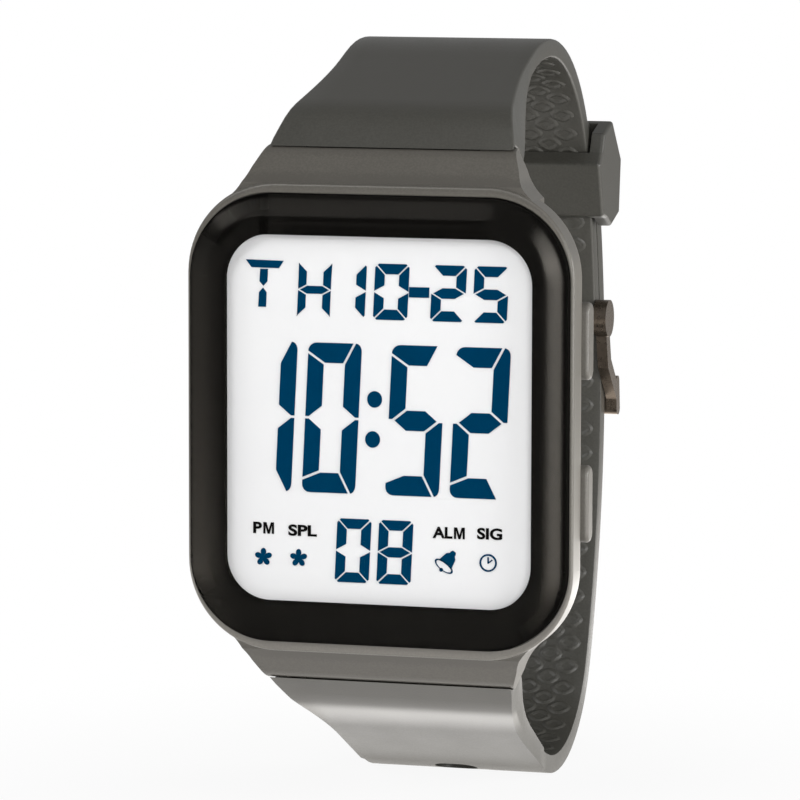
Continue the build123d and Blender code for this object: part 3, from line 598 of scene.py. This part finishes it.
def labels():
    """The four printed labels, in six parts. The letter M has narrow notches and is drawn by
    its corners."""
    shape = bmesh.new()
    for text, left, right, base in LABELS:
        if text == "M":
            flat(shape, [(left + x * (right - left), base + z * LABEL_HEIGHT) for x, z in LETTER_M])
            continue
        mesh = written(text)
        across = [vert.co.x for vert in mesh.vertices]
        up = [vert.co.y for vert in mesh.vertices]
        scale_x = (right - left) * MM / (max(across) - min(across))
        scale_z = LABEL_HEIGHT * MM / (max(up) - min(up))
        start = Matrix.Translation((-min(across), -min(up), 0))
        mesh.transform(on_panel(left, base) @ Matrix.Diagonal((scale_x, scale_z, 1, 1)) @ start)
        shape.from_mesh(mesh)
        bpy.data.meshes.remove(mesh)
    bmesh.ops.remove_doubles(shape, verts=shape.verts[:], dist=0.002 * MM)
    thicken(shape, shape.faces[:])
    return shape


label_black = segment_ink("label_black", tone(16, 15, 15))
piece("display_labels", labels(), label_black, "case", sharp=30.0)

# Window: a raised acrylic lens over a black printed frame, pressed into its rubber ring. Its
# front is polished, and its left and right shoulders are softer and show as pale bands.
frame_ink = Finish("frame_ink", {"Specular IOR Level": 0.0})
ink_film = frame_ink.noise(3.0)
frame_ink.feed("Base Color", frame_ink.mix(ink_film, tone(19, 18, 17), tone(23, 22, 20)))
frame_ink.feed("Roughness", 0.4 + ink_film * 0.15)
dress(frame_ink, "crystal_mask")


def lens():
    """Clear acrylic: light passes it, and its surface reflects. It reflects little over the
    display, and nothing at its outermost edge, which the rim hides."""
    finish = Finish("lens_acrylic")
    border = from_middle(finish, 3.8, 4.25, 4.7).rise(4.5, 5.1)
    reach = from_middle(finish)
    x, z = finish.axis("X"), finish.axis("Z")
    right = reach.rise(6.1, 7.6) * x.rise(15.6, 18.0)
    left = reach.rise(3.6, 7.6) * (0 - x).rise(13.0, 18.0)
    shoulder = (right + left * 0.62) * (1 - abs(z).rise(15.0, 19.0) * 0.75)
    edge = reach.rise(8.0, 8.55)
    roughness = 0.12 + shoulder * 0.24 + finish.noise(7.0) * 0.03
    warm = (1.0, 0.94, 0.84, 1.0)
    gloss = finish.node("ShaderNodeBsdfGlossy", {}, {"Color": warm, "Roughness": roughness})
    clear = finish.node("ShaderNodeBsdfTransparent", {}, {"Color": (1, 1, 1, 1)})
    share = finish.node("ShaderNodeFresnel", {}, {"IOR": 1.45})
    coat = (0.02 + border * 0.06 + shoulder * 1.55) * (1 - edge)
    finish.tree.nodes.remove(finish.shader)
    finish.show(finish.node("ShaderNodeMixShader", {}, {0: share * coat, 1: clear, 2: gloss}))
    return finish


dress(lens(), "crystal")

# Push buttons: satin resin caps with a steel shaft, an E-clip inside the case wall and a
# coil spring that sits in a pocket behind the cap.
button_satin = resin("button_satin", tone(104, 101, 95), 0.36, 0.2, 0.004)
spring_steel = metal("spring_steel", tone(186, 186, 186), 0.25, 0.2)


def coil(name):
    """A helical spring: a ring of wire spun round the shaft while it climbs along X. It is fixed at its
    inner end."""
    low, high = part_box("button_spring_" + name)
    side = 1 if low.x > 0 else -1
    wire, travel = 0.1 * MM, 0.8 * MM
    middle = (low + high) / 2
    inner = side * min(abs(low.x), abs(high.x))
    length = high.x - low.x
    turns, steps = 3, 20
    start = Vector((inner + side * wire, middle.y, high.z - wire))
    shape = bmesh.new()
    bmesh.ops.create_circle(shape, segments=10, radius=wire,
                            matrix=Matrix.Translation(start) @ Matrix.Rotation(math.pi / 2, 4, "X"))
    bmesh.ops.spin(shape, geom=shape.verts[:] + shape.edges[:], cent=(start.x, middle.y, middle.z),
                   axis=(1, 0, 0), dvec=(side * (length - 2 * wire) / (turns * steps), 0, 0),
                   angle=math.tau * turns, steps=turns * steps)
    bmesh.ops.holes_fill(shape, edges=[edge for edge in shape.edges if edge.is_boundary], sides=0)
    bmesh.ops.recalc_face_normals(shape, faces=shape.faces[:])
    made = piece("spring_coil_" + name, shape, spring_steel, "case",
                 ["button_spring_" + name], 60.0)
    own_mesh(made)


for name in ("upper_right", "lower_right", "upper_left", "lower_left"):
    dress(button_satin, "button_" + name)
    dress(spring_steel, "button_clip_" + name)
    coil(name)

# Spring bars: polished steel pins that carry the strap in the lugs and in the buckle. Each
# is held by its two sprung tips, which sit in bores in the walls beside it.
pin_steel = metal("pin_steel", tone(190, 190, 188), 0.24, 0.4, (0.1, 1, 1))
dress(pin_steel, "lug_spring_bar_upper", "lug_spring_bar_lower", "buckle_spring_bar")

# Strap: two bands of soft resin. Each starts at its hood, bends over its shoulder and runs
# round behind the wrist, and its inside carries rows of raised rings. Both are drawn in
# their side view, in points of depth and height in millimetres, as at 12 o'clock.
BAR = (-5.9, 25.0)
JOINT_RADIUS = 3.47
SHOULDER_RADIUS = 7.0
THICKNESS = 2.0
ROOT, NECK, TAIL = 13.2, 10.5, 10.2
HOLLOW_STEPS, LINING_STEPS = 6, 10
FRONT_ROWS = HOLLOW_STEPS + LINING_STEPS


def polar(centre, radius, angle):
    turn = math.radians(angle)
    return Vector((centre[0] + radius * math.cos(turn), centre[1] + radius * math.sin(turn)))


def heading(centre, point):
    """The angle in degrees at which a point lies from a centre."""
    return math.degrees(math.atan2(point[1] - centre[1], point[0] - centre[0]))


def arc(centre, radius, start, end, steps):
    return [polar(centre, radius, start + (end - start) * step / steps) for step in range(steps + 1)]


def run(start, end, steps):
    return [start.lerp(end, step / steps) for step in range(steps + 1)]


def half_width(point):
    """Half the strap's width at a point: wide at the hood, drawn in over the shoulder by a
    smooth curve, and tapered slowly behind the wrist."""
    depth, height = point
    if depth > 12.2:
        return NECK + (TAIL - NECK) * min(max((depth - 18.0) / 22.0, 0), 1)
    lean = math.radians(20)
    along = depth * math.sin(lean) + height * math.cos(lean)
    start, low, high = 24.01, 24.35, 37.74
    t = min(max((along - low) / (high - low), 0), 1)
    slope = (NECK - ROOT) / (0.95 * (high - start)) * (high - low)
    wide = ROOT * (2 * t ** 3 - 3 * t ** 2 + 1)
    narrow = NECK * (3 * t ** 2 - 2 * t ** 3)
    return wide + slope * (t ** 3 - 2 * t ** 2 + t) + narrow


def shoulder_run(joint, shoulder, crest, steps):
    """The outer face from the hood's joint over the rounded shoulder to the crest."""
    into = (shoulder - joint).normalized()
    out = (crest - shoulder).normalized()
    cut = SHOULDER_RADIUS * math.tan(into.angle(out) / 2)
    start, end = shoulder - into * cut, shoulder + out * cut
    centre = start + Vector((into.y, -into.x)) * SHOULDER_RADIUS
    bend = arc(centre, SHOULDER_RADIUS, heading(centre, start), heading(centre, end), steps)
    return run(joint, start, steps)[:-1] + bend + run(end, crest, steps)[1:]


def lengths_to(points):
    """How far along a run each of its points lies."""
    lengths = [0.0]
    for a, b in zip(points, points[1:]):
        lengths.append(lengths[-1] + (b - a).length)
    return lengths


def respaced(points, count):
    """The same run with evenly spaced points."""
    lengths = lengths_to(points)
    result = []
    index = 0
    for step in range(count + 1):
        want = lengths[-1] * step / count
        while index < len(points) - 2 and lengths[index + 1] < want:
            index += 1
        span = lengths[index + 1] - lengths[index]
        share = (want - lengths[index]) / span if span else 0
        result.append(points[index].lerp(points[index + 1], share))
    return result


def strap_front(angles, shoulder, crest, inner_start):
    """Pairs of points, outer and inner, from the hood's joint to the crest. The first pairs
    share their inner points with the hollow end that turns round the lug."""
    joint = polar(BAR, JOINT_RADIUS, angles[0])
    outer = shoulder_run(joint, Vector(shoulder), Vector(crest), 6)
    hollow = arc(BAR, JOINT_RADIUS, *angles, HOLLOW_STEPS)
    inner = hollow + run(hollow[-1], inner_start, LINING_STEPS)[1:]
    return list(zip(respaced(outer, FRONT_ROWS), inner))


def fitted(x, wide):
    """Where a column lies across the strap: the outermost ones on its sides, and the others
    in their place, or just inside the sides where the strap is narrower."""
    border, clear = NECK - 1, 0.6
    if abs(x) > border:
        return math.copysign(wide, x)
    if abs(x) < wide - clear:
        return x
    return math.copysign(wide - clear - (border - abs(x)) * 0.05, x)


def band(pairs, columns, tip=None):
    """A solid strap: its side view as a ladder of faces, drawn out across the watch column
    by column, then fitted to the strap's width."""
    shape = bmesh.new()
    row, column, side = (shape.verts.layers.int.new(name) for name in ("row", "column", "side"))
    rungs = []
    for number, (outer, inner) in enumerate(pairs):
        first = shape.verts.new((0, *outer))
        first[row] = number
        second = first
        if (outer - inner).length > 1e-6:
            second = shape.verts.new((0, *inner))
            second[row], second[side] = number, 1
        rungs.append((first, second))
    faces = []
    for (a, b), (c, d) in zip(rungs, rungs[1:]):
        faces.append(shape.faces.new(list(dict.fromkeys((a, c, d, b)))))
    for number in range(1, len(columns)):
        grown = bmesh.ops.extrude_face_region(shape, geom=faces)["geom"]
        if number > 1:
            bmesh.ops.delete(shape, geom=faces, context="FACES")
        faces = [item for item in grown if isinstance(item, bmesh.types.BMFace)]
        for vert in (item for item in grown if isinstance(item, bmesh.types.BMVert)):
            vert[column] = number
    for vert in shape.verts:
        wide = half_width(vert.co.yz)
        if tip:
            wide = min(wide, tip(vert[row]))
        vert.co.x = fitted(columns[vert[column]], wide)
    return shape


def lattice(shape):
    """The strap's points by row, column and side."""
    row, column, side = (shape.verts.layers.int[name] for name in ("row", "column", "side"))
    return {(v[row], v[column], v[side]): v for v in shape.verts}


def pierce(shape, points, rows, columns, ends=2):
    """Opens the strap between two rows and two columns and walls the opening."""
    row, column = (shape.verts.layers.int[name] for name in ("row", "column"))
    inside = [face for face in shape.faces
              if all(rows[0] <= vert[row] <= rows[1] and columns[0] <= vert[column] <= columns[1]
                     for vert in face.verts)]
    bmesh.ops.delete(shape, geom=inside, context="FACES")

    def at(number, place, side):
        return points.get((number, place, side)) or points[(number, place, 0)]

    for place in columns:
        for number in range(*rows):
            corners = (at(number, place, 0), at(number + 1, place, 0),
                       at(number + 1, place, 1), at(number, place, 1))
            shape.faces.new(list(dict.fromkeys(corners)))
    for number in rows[:ends]:
        for place in range(*columns):
            shape.faces.new((at(number, place, 0), at(number, place + 1, 0),
                             at(number, place + 1, 1), at(number, place, 1)))


def stud():
    """One raised rhombic ring on the ground plane, as a mesh in millimetres."""
    ring = bmesh.new()
    verts = bmesh.ops.create_circle(ring, cap_ends=True, segments=12, radius=1.0)["verts"]
    for vert in verts:
        x, y = vert.co.x, vert.co.y
        vert.co.x = math.copysign(abs(x) ** 1.25, x) * 1.45
        vert.co.y = math.copysign(abs(y) ** 1.25, y) * 1.12
    face = ring.faces[:][0]
    for width, height in ((0.28, 0.17), (0.16, 0.0), (0.28, -0.16)):
        bmesh.ops.inset_region(ring, faces=[face], thickness=width, use_boundary=True,
                               use_even_offset=True)
        bmesh.ops.translate(ring, verts=face.verts, vec=(0, 0, height))
    bmesh.ops.translate(ring, verts=ring.verts, vec=(0, 0, -0.02))
    bmesh.ops.holes_fill(ring, edges=[edge for edge in ring.edges if edge.is_boundary], sides=0)
    bmesh.ops.recalc_face_normals(ring, faces=ring.faces[:])
    mesh = bpy.data.meshes.new("stud")
    ring.to_mesh(mesh)
    ring.free()
    return mesh


def studs(shape, line, clear=0.0):
    """Rows of raised rings on the inner face along a line of points. They keep clear of the
    strap's middle by a distance."""
    template = stud()
    pitch, spacing = 1.36, 2.0
    count = int(lengths_to(line)[-1] / pitch)
    spots = respaced(line, count)
    for number in range(1, count):
        ahead = (spots[number + 1] - spots[number - 1]).normalized()
        inward = Vector((ahead.y, -ahead.x))
        for place in (-4, -2, 0, 2, 4) if number % 2 else (-3, -1, 1, 3):
            x = place * spacing
            if abs(x) < clear:
                continue
            stand = Matrix(((1, 0, 0, x), (0, -ahead.x, inward.x, spots[number].x),
                            (0, -ahead.y, inward.y, spots[number].y), (0, 0, 0, 1)))
            copy = template.copy()
            copy.transform(stand)
            shape.from_mesh(copy)
            bpy.data.meshes.remove(copy)
    bpy.data.meshes.remove(template)


def knuckle(shape, angle):
    """The narrow eye round the lug's spring bar and its neck under the strap."""
    radius, wide = 1.9, 19.0
    across = Matrix.Translation((0, *BAR)) @ Matrix.Rotation(math.pi / 2, 4, "Y")
    bmesh.ops.create_cone(shape, cap_ends=True, segments=40, radius1=radius, radius2=radius,
                          depth=wide, matrix=across)
    neck = Matrix.Translation((0, *polar(BAR, 2.3, angle)))
    lean = Matrix.Rotation(math.radians(angle), 4, "X")
    bmesh.ops.create_cube(shape, size=1.0, matrix=neck @ lean @ Matrix.Diagonal((wide, 3.2, 2.0, 1.0)))


def round_long_edges(shape, last):
    """Rounds the four edges that run along a strap, in its first and its last column."""
    column, side, row = (shape.verts.layers.int[name] for name in ("column", "side", "row"))
    edges = []
    for edge in shape.edges:
        a, b = edge.verts
        lengthwise = a[column] == b[column] and a[side] == b[side] and a[row] != b[row]
        if lengthwise and a[column] in (0, last) and len(edge.link_faces) == 2:
            edges.append(edge)
    bmesh.ops.bevel(shape, geom=edges, offset=0.5, segments=3, profile=0.5, affect="EDGES",
                    material=-1, clamp_overlap=True)


def worn_bend(finish):
    """The outer face is worn smooth where the lower half bends under the watch. The inner
    face lies behind a slanted line and stays as it is."""
    top, slant = 31.4, 2.07
    down = 0 - finish.axis("Z")
    behind = finish.axis("Y") - (down - top) * slant
    return down.rise(top, 32.7) * (1 - down.rise(32.8, 35.6)) * (1 - behind.rise(-0.8, 0.4))


def pair(centre, radius, outer, lag=0.0):
    """An outer and an inner point of a bend, from its outer radius and an angle in degrees.
    The inner point lies farther round the bend by the lag."""
    return polar(centre, radius, outer), polar(centre, radius - THICKNESS, outer + lag)


strap_resin = resin("strap_resin", tone(68, 67, 62), 0.38, 0.22, 0.008)
strap_resin.feed("Coat Roughness", 0.35)
strap_resin.feed("Coat Weight", worn_bend(strap_resin))

# Upper band: it runs to the buckle, and its end is wrapped round the buckle's bar with a
# slot in the middle for the tongue. It is one piece with its eye and its rings.
UPPER_BEND, UPPER_RADIUS = (18.91, 16.668), 22.0
UPPER_LOOP, UPPER_LOOP_RADIUS = (-34.7, -2.1), 78.8
BEND_START, BEND_END, LOOP_END = 109.5, 19.29, 8.95
BEND_LAG = 12.9
upper_lining = polar(UPPER_BEND, UPPER_RADIUS - THICKNESS, BEND_START + BEND_LAG)
upper = strap_front((113, 27), (-3.7, 32.0), (11.566, 37.406), upper_lining)
for step in range(1, 21):
    lag = BEND_LAG * max(0, 1 - step / 7) ** 2
    upper.append(pair(UPPER_BEND, UPPER_RADIUS, BEND_START + (BEND_END - BEND_START) * step / 20, lag))
for step in range(1, 9):
    upper.append(pair(UPPER_LOOP, UPPER_LOOP_RADIUS, BEND_END + (LOOP_END - BEND_END) * step / 8))
slot_row = len(upper) - 1
BUCKLE_BAR = Vector((41.851, 6.2))
BUCKLE_LEAN = 6.188
END_RADIUS = 1.8


def at_bar(out, up):
    """A point near the buckle's bar: out of the loop, and up along the strap."""
    turn = math.radians(BUCKLE_LEAN)
    outward = Vector((math.cos(turn), math.sin(turn)))
    upward = Vector((-math.sin(turn), math.cos(turn)))
    return BUCKLE_BAR + outward * out + upward * up


def round_bar(angle):
    """A point of the band's end round the bar, at an angle from its outer side."""
    turn = math.radians(angle)
    return at_bar(END_RADIUS * math.cos(turn), END_RADIUS * math.sin(turn))


upper.append(pair(UPPER_LOOP, UPPER_LOOP_RADIUS, 7.52))
for outer_up, inner_angle in ((1.3, 130), (0.7, 155), (0, 180)):
    upper.append((at_bar(END_RADIUS, outer_up), round_bar(inner_angle)))
for angle in (22.5, 45, 67.5, 90):
    upper.append((round_bar(-angle), round_bar(180 + angle)))
columns = (-13.2, -8.6, -5.2, -2.2, 2.2, 5.2, 8.6, 13.2)
MIDDLE_COLUMNS = (3, 4)
upper_shape = band(upper, columns)
pierce(upper_shape, lattice(upper_shape), (slot_row, len(upper) - 1), MIDDLE_COLUMNS, ends=1)
bmesh.ops.recalc_face_normals(upper_shape, faces=upper_shape.faces[:])
round_long_edges(upper_shape, len(columns) - 1)
studs(upper_shape, [inner for outer, inner in upper[FRONT_ROWS + 1:slot_row - 1]])
knuckle(upper_shape, 70)
bmesh.ops.scale(upper_shape, vec=(MM, MM, MM), verts=upper_shape.verts)
piece("upper_strap_band", upper_shape, strap_resin, "upper_strap", ["strap_upper"], 40.0)

# Lower band: it is pierced with holes for the tongue and ends in a round tip that lies over
# the upper band. It is made as the upper one is and turned over to hang below the case.
LOWER_BEND, LOWER_BEND_RADIUS = (25.049, 26.395), 16.5
LOWER_LOOP, LOWER_LOOP_RADIUS = (-34.7, 2.1), 81.0
LOWER_TURN = 22.13
TONGUE_ANGLE = 2.722
HOLE_PITCH, HALF_HOLE, HOLE_CORNER = 6.0, 1.65, 1.6
HOLES = range(-4, 11)
TIP = -33.12
TIP_RADIUS, TIP_FLAT = 9.0, 1.2


def tail_pair(distance):
    """The points at a distance from the tongue's hole towards the lug, as at 12 o'clock."""
    angle = math.degrees(distance / LOWER_LOOP_RADIUS) - TONGUE_ANGLE
    if angle <= LOWER_TURN:
        return pair(LOWER_LOOP, LOWER_LOOP_RADIUS, angle)
    turned = LOWER_TURN + (angle - LOWER_TURN) * LOWER_LOOP_RADIUS / LOWER_BEND_RADIUS
    return pair(LOWER_BEND, LOWER_BEND_RADIUS, turned)


lower_lining = polar(LOWER_BEND, LOWER_BEND_RADIUS - THICKNESS, 120.0)
lower = strap_front((113, 34), (-2.6, 31.4), (17.894, 41.263), lower_lining)
first_row = len(lower)
distances = []
for hole in reversed(HOLES):
    middle = hole * HOLE_PITCH
    distances += [middle + HALF_HOLE, middle, middle - HALF_HOLE, middle - HOLE_PITCH / 2]
distances[-1] = TIP + 5.8
distances += [TIP + into for into in (4.4, 3.2, 2.1, 1.2, 0.5, 0.12, 0)]
lower += [tail_pair(distance) for distance in distances]


def tail_tip(number):
    """Half the width of the rounded tip at a row of the lower strap."""
    if number < first_row:
        return ROOT
    into = min(distances[number - first_row] - TIP, TIP_RADIUS)
    return TIP_FLAT + math.sqrt(TIP_RADIUS ** 2 - (TIP_RADIUS - into) ** 2)


columns = (-13.2, -8.6, -5.2, -2.4, 2.4, 5.2, 8.6, 13.2)
lower_shape = band(lower, columns, tail_tip)
points = lattice(lower_shape)
corners = []
for order in range(len(HOLES)):
    rows = (first_row + 4 * order, first_row + 4 * order + 2)
    pierce(lower_shape, points, rows, MIDDLE_COLUMNS)
    for number in rows:
        for place in MIDDLE_COLUMNS:
            a, b = points[(number, place, 0)], points[(number, place, 1)]
            corners.append(next(edge for edge in a.link_edges if edge.other_vert(a) is b))
bmesh.ops.recalc_face_normals(lower_shape, faces=lower_shape.faces[:])
round_long_edges(lower_shape, len(columns) - 1)
bmesh.ops.bevel(lower_shape, geom=[edge for edge in corners if edge.is_valid], offset=HOLE_CORNER,
                segments=6, profile=0.5, affect="EDGES", material=-1)
studs(lower_shape, [inner for outer, inner in lower[FRONT_ROWS:] if inner.y > -1.0], clear=3.6)
knuckle(lower_shape, 73.5)
bmesh.ops.scale(lower_shape, vec=(MM, MM, -MM), verts=lower_shape.verts)
bmesh.ops.reverse_faces(lower_shape, faces=lower_shape.faces[:])
lower_band = piece("lower_strap_band", lower_shape, strap_resin, None,
                   ["strap_lower"], 40.0)
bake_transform(lower_band)

# Buckle: a cast frame with a dark polished plating, a bent tongue, and the free resin loop
# that holds the tail down.


def plating():
    """Dark plating whose polish is a little uneven."""
    finish = Finish("buckle_plating", {"Metallic": 1.0})
    marks = finish.noise(0.5, 3.0)
    finish.feed("Base Color", finish.mix(marks, tone(122, 111, 100), tone(136, 125, 114)))
    finish.feed("Roughness", 0.24 + marks * 0.08)
    finish.bump(marks, 0.0015)
    return finish


buckle_plate = plating()
dress(buckle_plate, "buckle_frame", "buckle_tongue")
dress(strap_resin, "strap_keeper")

# Studio: a white floor under the watch and plain soft light from square lamps, most of them
# at the front and at the right. Levels are set so that a colour shows about as it is written.
FLOOR = cad_box[0].z


def rays(graph):
    """Wires that are 1 for what the camera sees and for what reflections see."""
    path = graph.node("ShaderNodeLightPath").socket.node
    return Wire(graph, path.outputs["Is Camera Ray"]), Wire(graph, path.outputs["Is Glossy Ray"])


def floor_white():
    """White paint, shown as plain white with a faint shadow, and bright in reflections."""
    finish = Finish("floor_white", {"Base Color": (0.9, 0.9, 0.9, 1), "Roughness": 0.9,
                                    "Specular IOR Level": 0.0})
    camera, glossy = rays(finish)
    away = finish.node("ShaderNodeVectorMath", {"operation": "LENGTH"}, {0: finish.place()}, output=1)
    mirrored = 1.3 + away.rise(70.0, 120.0) * 0.5 - away.rise(240.0, 340.0) * 1.4
    colour = finish.mix(camera, (1.0, 0.965, 0.92, 1.0), (1, 1, 1, 1))
    strength = camera + glossy * mirrored
    glow = finish.node("ShaderNodeEmission", {}, {"Color": colour, "Strength": strength})
    share = camera * (0.9 + away.rise(30.0, 100.0) * 0.1) + glossy
    paint = Wire(finish, finish.shader.outputs[0])
    finish.show(finish.node("ShaderNodeMixShader", {}, {0: share, 1: paint, 2: glow}))
    return finish


ground = bmesh.new()
bmesh.ops.create_grid(ground, x_segments=1, y_segments=1, size=6.0,
                      matrix=Matrix.Translation((0, 0, FLOOR)))
ground_mesh = bpy.data.meshes.new("floor")
ground.to_mesh(ground_mesh)
ground.free()
ground_mesh.materials.append(floor_white().material)
floor = bpy.data.objects.new("floor", ground_mesh)
bpy.context.scene.collection.objects.link(floor)


def softbox(name, place, size, level, aim=(0, 0, 0)):
    """A lamp that gives a surface facing it at its aim that share of full white."""
    light = bpy.data.lights.new(name, "AREA")
    light.shape = "RECTANGLE"
    light.size, light.size_y = size
    reach = Vector(aim) - Vector(place)
    light.energy = level * math.pi ** 2 * reach.length ** 2
    lamp = bpy.data.objects.new(name, light)
    lamp.location = place
    lamp.rotation_euler = reach.to_track_quat("-Z", "Y").to_euler()
    lamp.visible_camera = False
    bpy.context.scene.collection.objects.link(lamp)


def around(azimuth, elevation, distance):
    """A place round the watch: azimuth 0 is in front of it and 90 at its right."""
    a, e = math.radians(azimuth), math.radians(elevation)
    level = distance * math.cos(e)
    return (level * math.sin(a), -level * math.cos(a), distance * math.sin(e))


softbox("front", around(26, 11, 0.85), (0.4, 0.3), 0.34)
softbox("side", around(100, 12, 0.85), (0.4, 0.3), 0.31)
softbox("top", around(10, 62, 0.85), (0.4, 0.4), 0.18)
softbox("near_right", around(74, 6, 0.2), (0.12, 0.1), 0.52)
softbox("left", around(-30, 30, 0.6), (0.34, 0.24), 0.38)

# Two lamps lie just above the floor and light what faces down: one behind the watch, and one
# under the lower hood.
LAMP_HEIGHT = FLOOR + 0.4 * MM
softbox("behind", (0, 0.12, LAMP_HEIGHT), (0.12, 0.1), 0.19, (0, 0.12, 0.1))
softbox("below", (0.002, 0.012, LAMP_HEIGHT), (0.034, 0.012), 0.21, (0.002, 0.012, -0.0225))

world = bpy.data.worlds.new("studio")
bpy.context.scene.world = world
world.use_nodes = True


def sky():
    """White for the camera. Reflections see it soft: bright at the sides, dimmer behind."""
    air = Graph(world.node_tree)
    camera, glossy = rays(air)
    way = air.node("ShaderNodeTexCoord")
    x, y, z = (air.node("ShaderNodeSeparateXYZ", {}, {0: way}, output=index) for index in range(3))
    back, up = (part.calc("MAXIMUM", part, 0.0) ** 2 for part in (y, z))
    backdrop = air.tree.nodes["Background"]
    air.join((1, 1, 1, 1), backdrop.inputs["Color"])
    air.join(camera + glossy * (x ** 2 * 0.8 + back * 0.42 + up * 0.16), backdrop.inputs["Strength"])


sky()

# Camera: it stands far off, to the right of the watch and a little above it, with a long
# lens. Its offset is in millimetres along its own right, up and backward directions.
AZIMUTH, ELEVATION, ROLL = 15.947, 6.467, 0.14
FOCAL_PIXELS, FRAME_PIXELS, SENSOR = 4907.5, 800, 36.0
camera_data = bpy.data.cameras.new("camera")
camera_data.sensor_width = SENSOR
camera_data.lens = FOCAL_PIXELS / FRAME_PIXELS * SENSOR
camera_data.clip_start, camera_data.clip_end = 0.01, 20.0
camera = bpy.data.objects.new("camera", camera_data)
OFFSET = Vector((-0.916, 1.015, 520.41))
turn = (Matrix.Rotation(math.radians(AZIMUTH), 4, "Z")
        @ Matrix.Rotation(math.radians(90 - ELEVATION), 4, "X")
        @ Matrix.Rotation(math.radians(ROLL), 4, "Z"))
camera.matrix_world = Matrix.Translation(turn @ OFFSET * MM) @ turn
bpy.context.scene.collection.objects.link(camera)
bpy.context.scene.camera = camera
bpy.context.scene.view_settings.view_transform = "Standard"
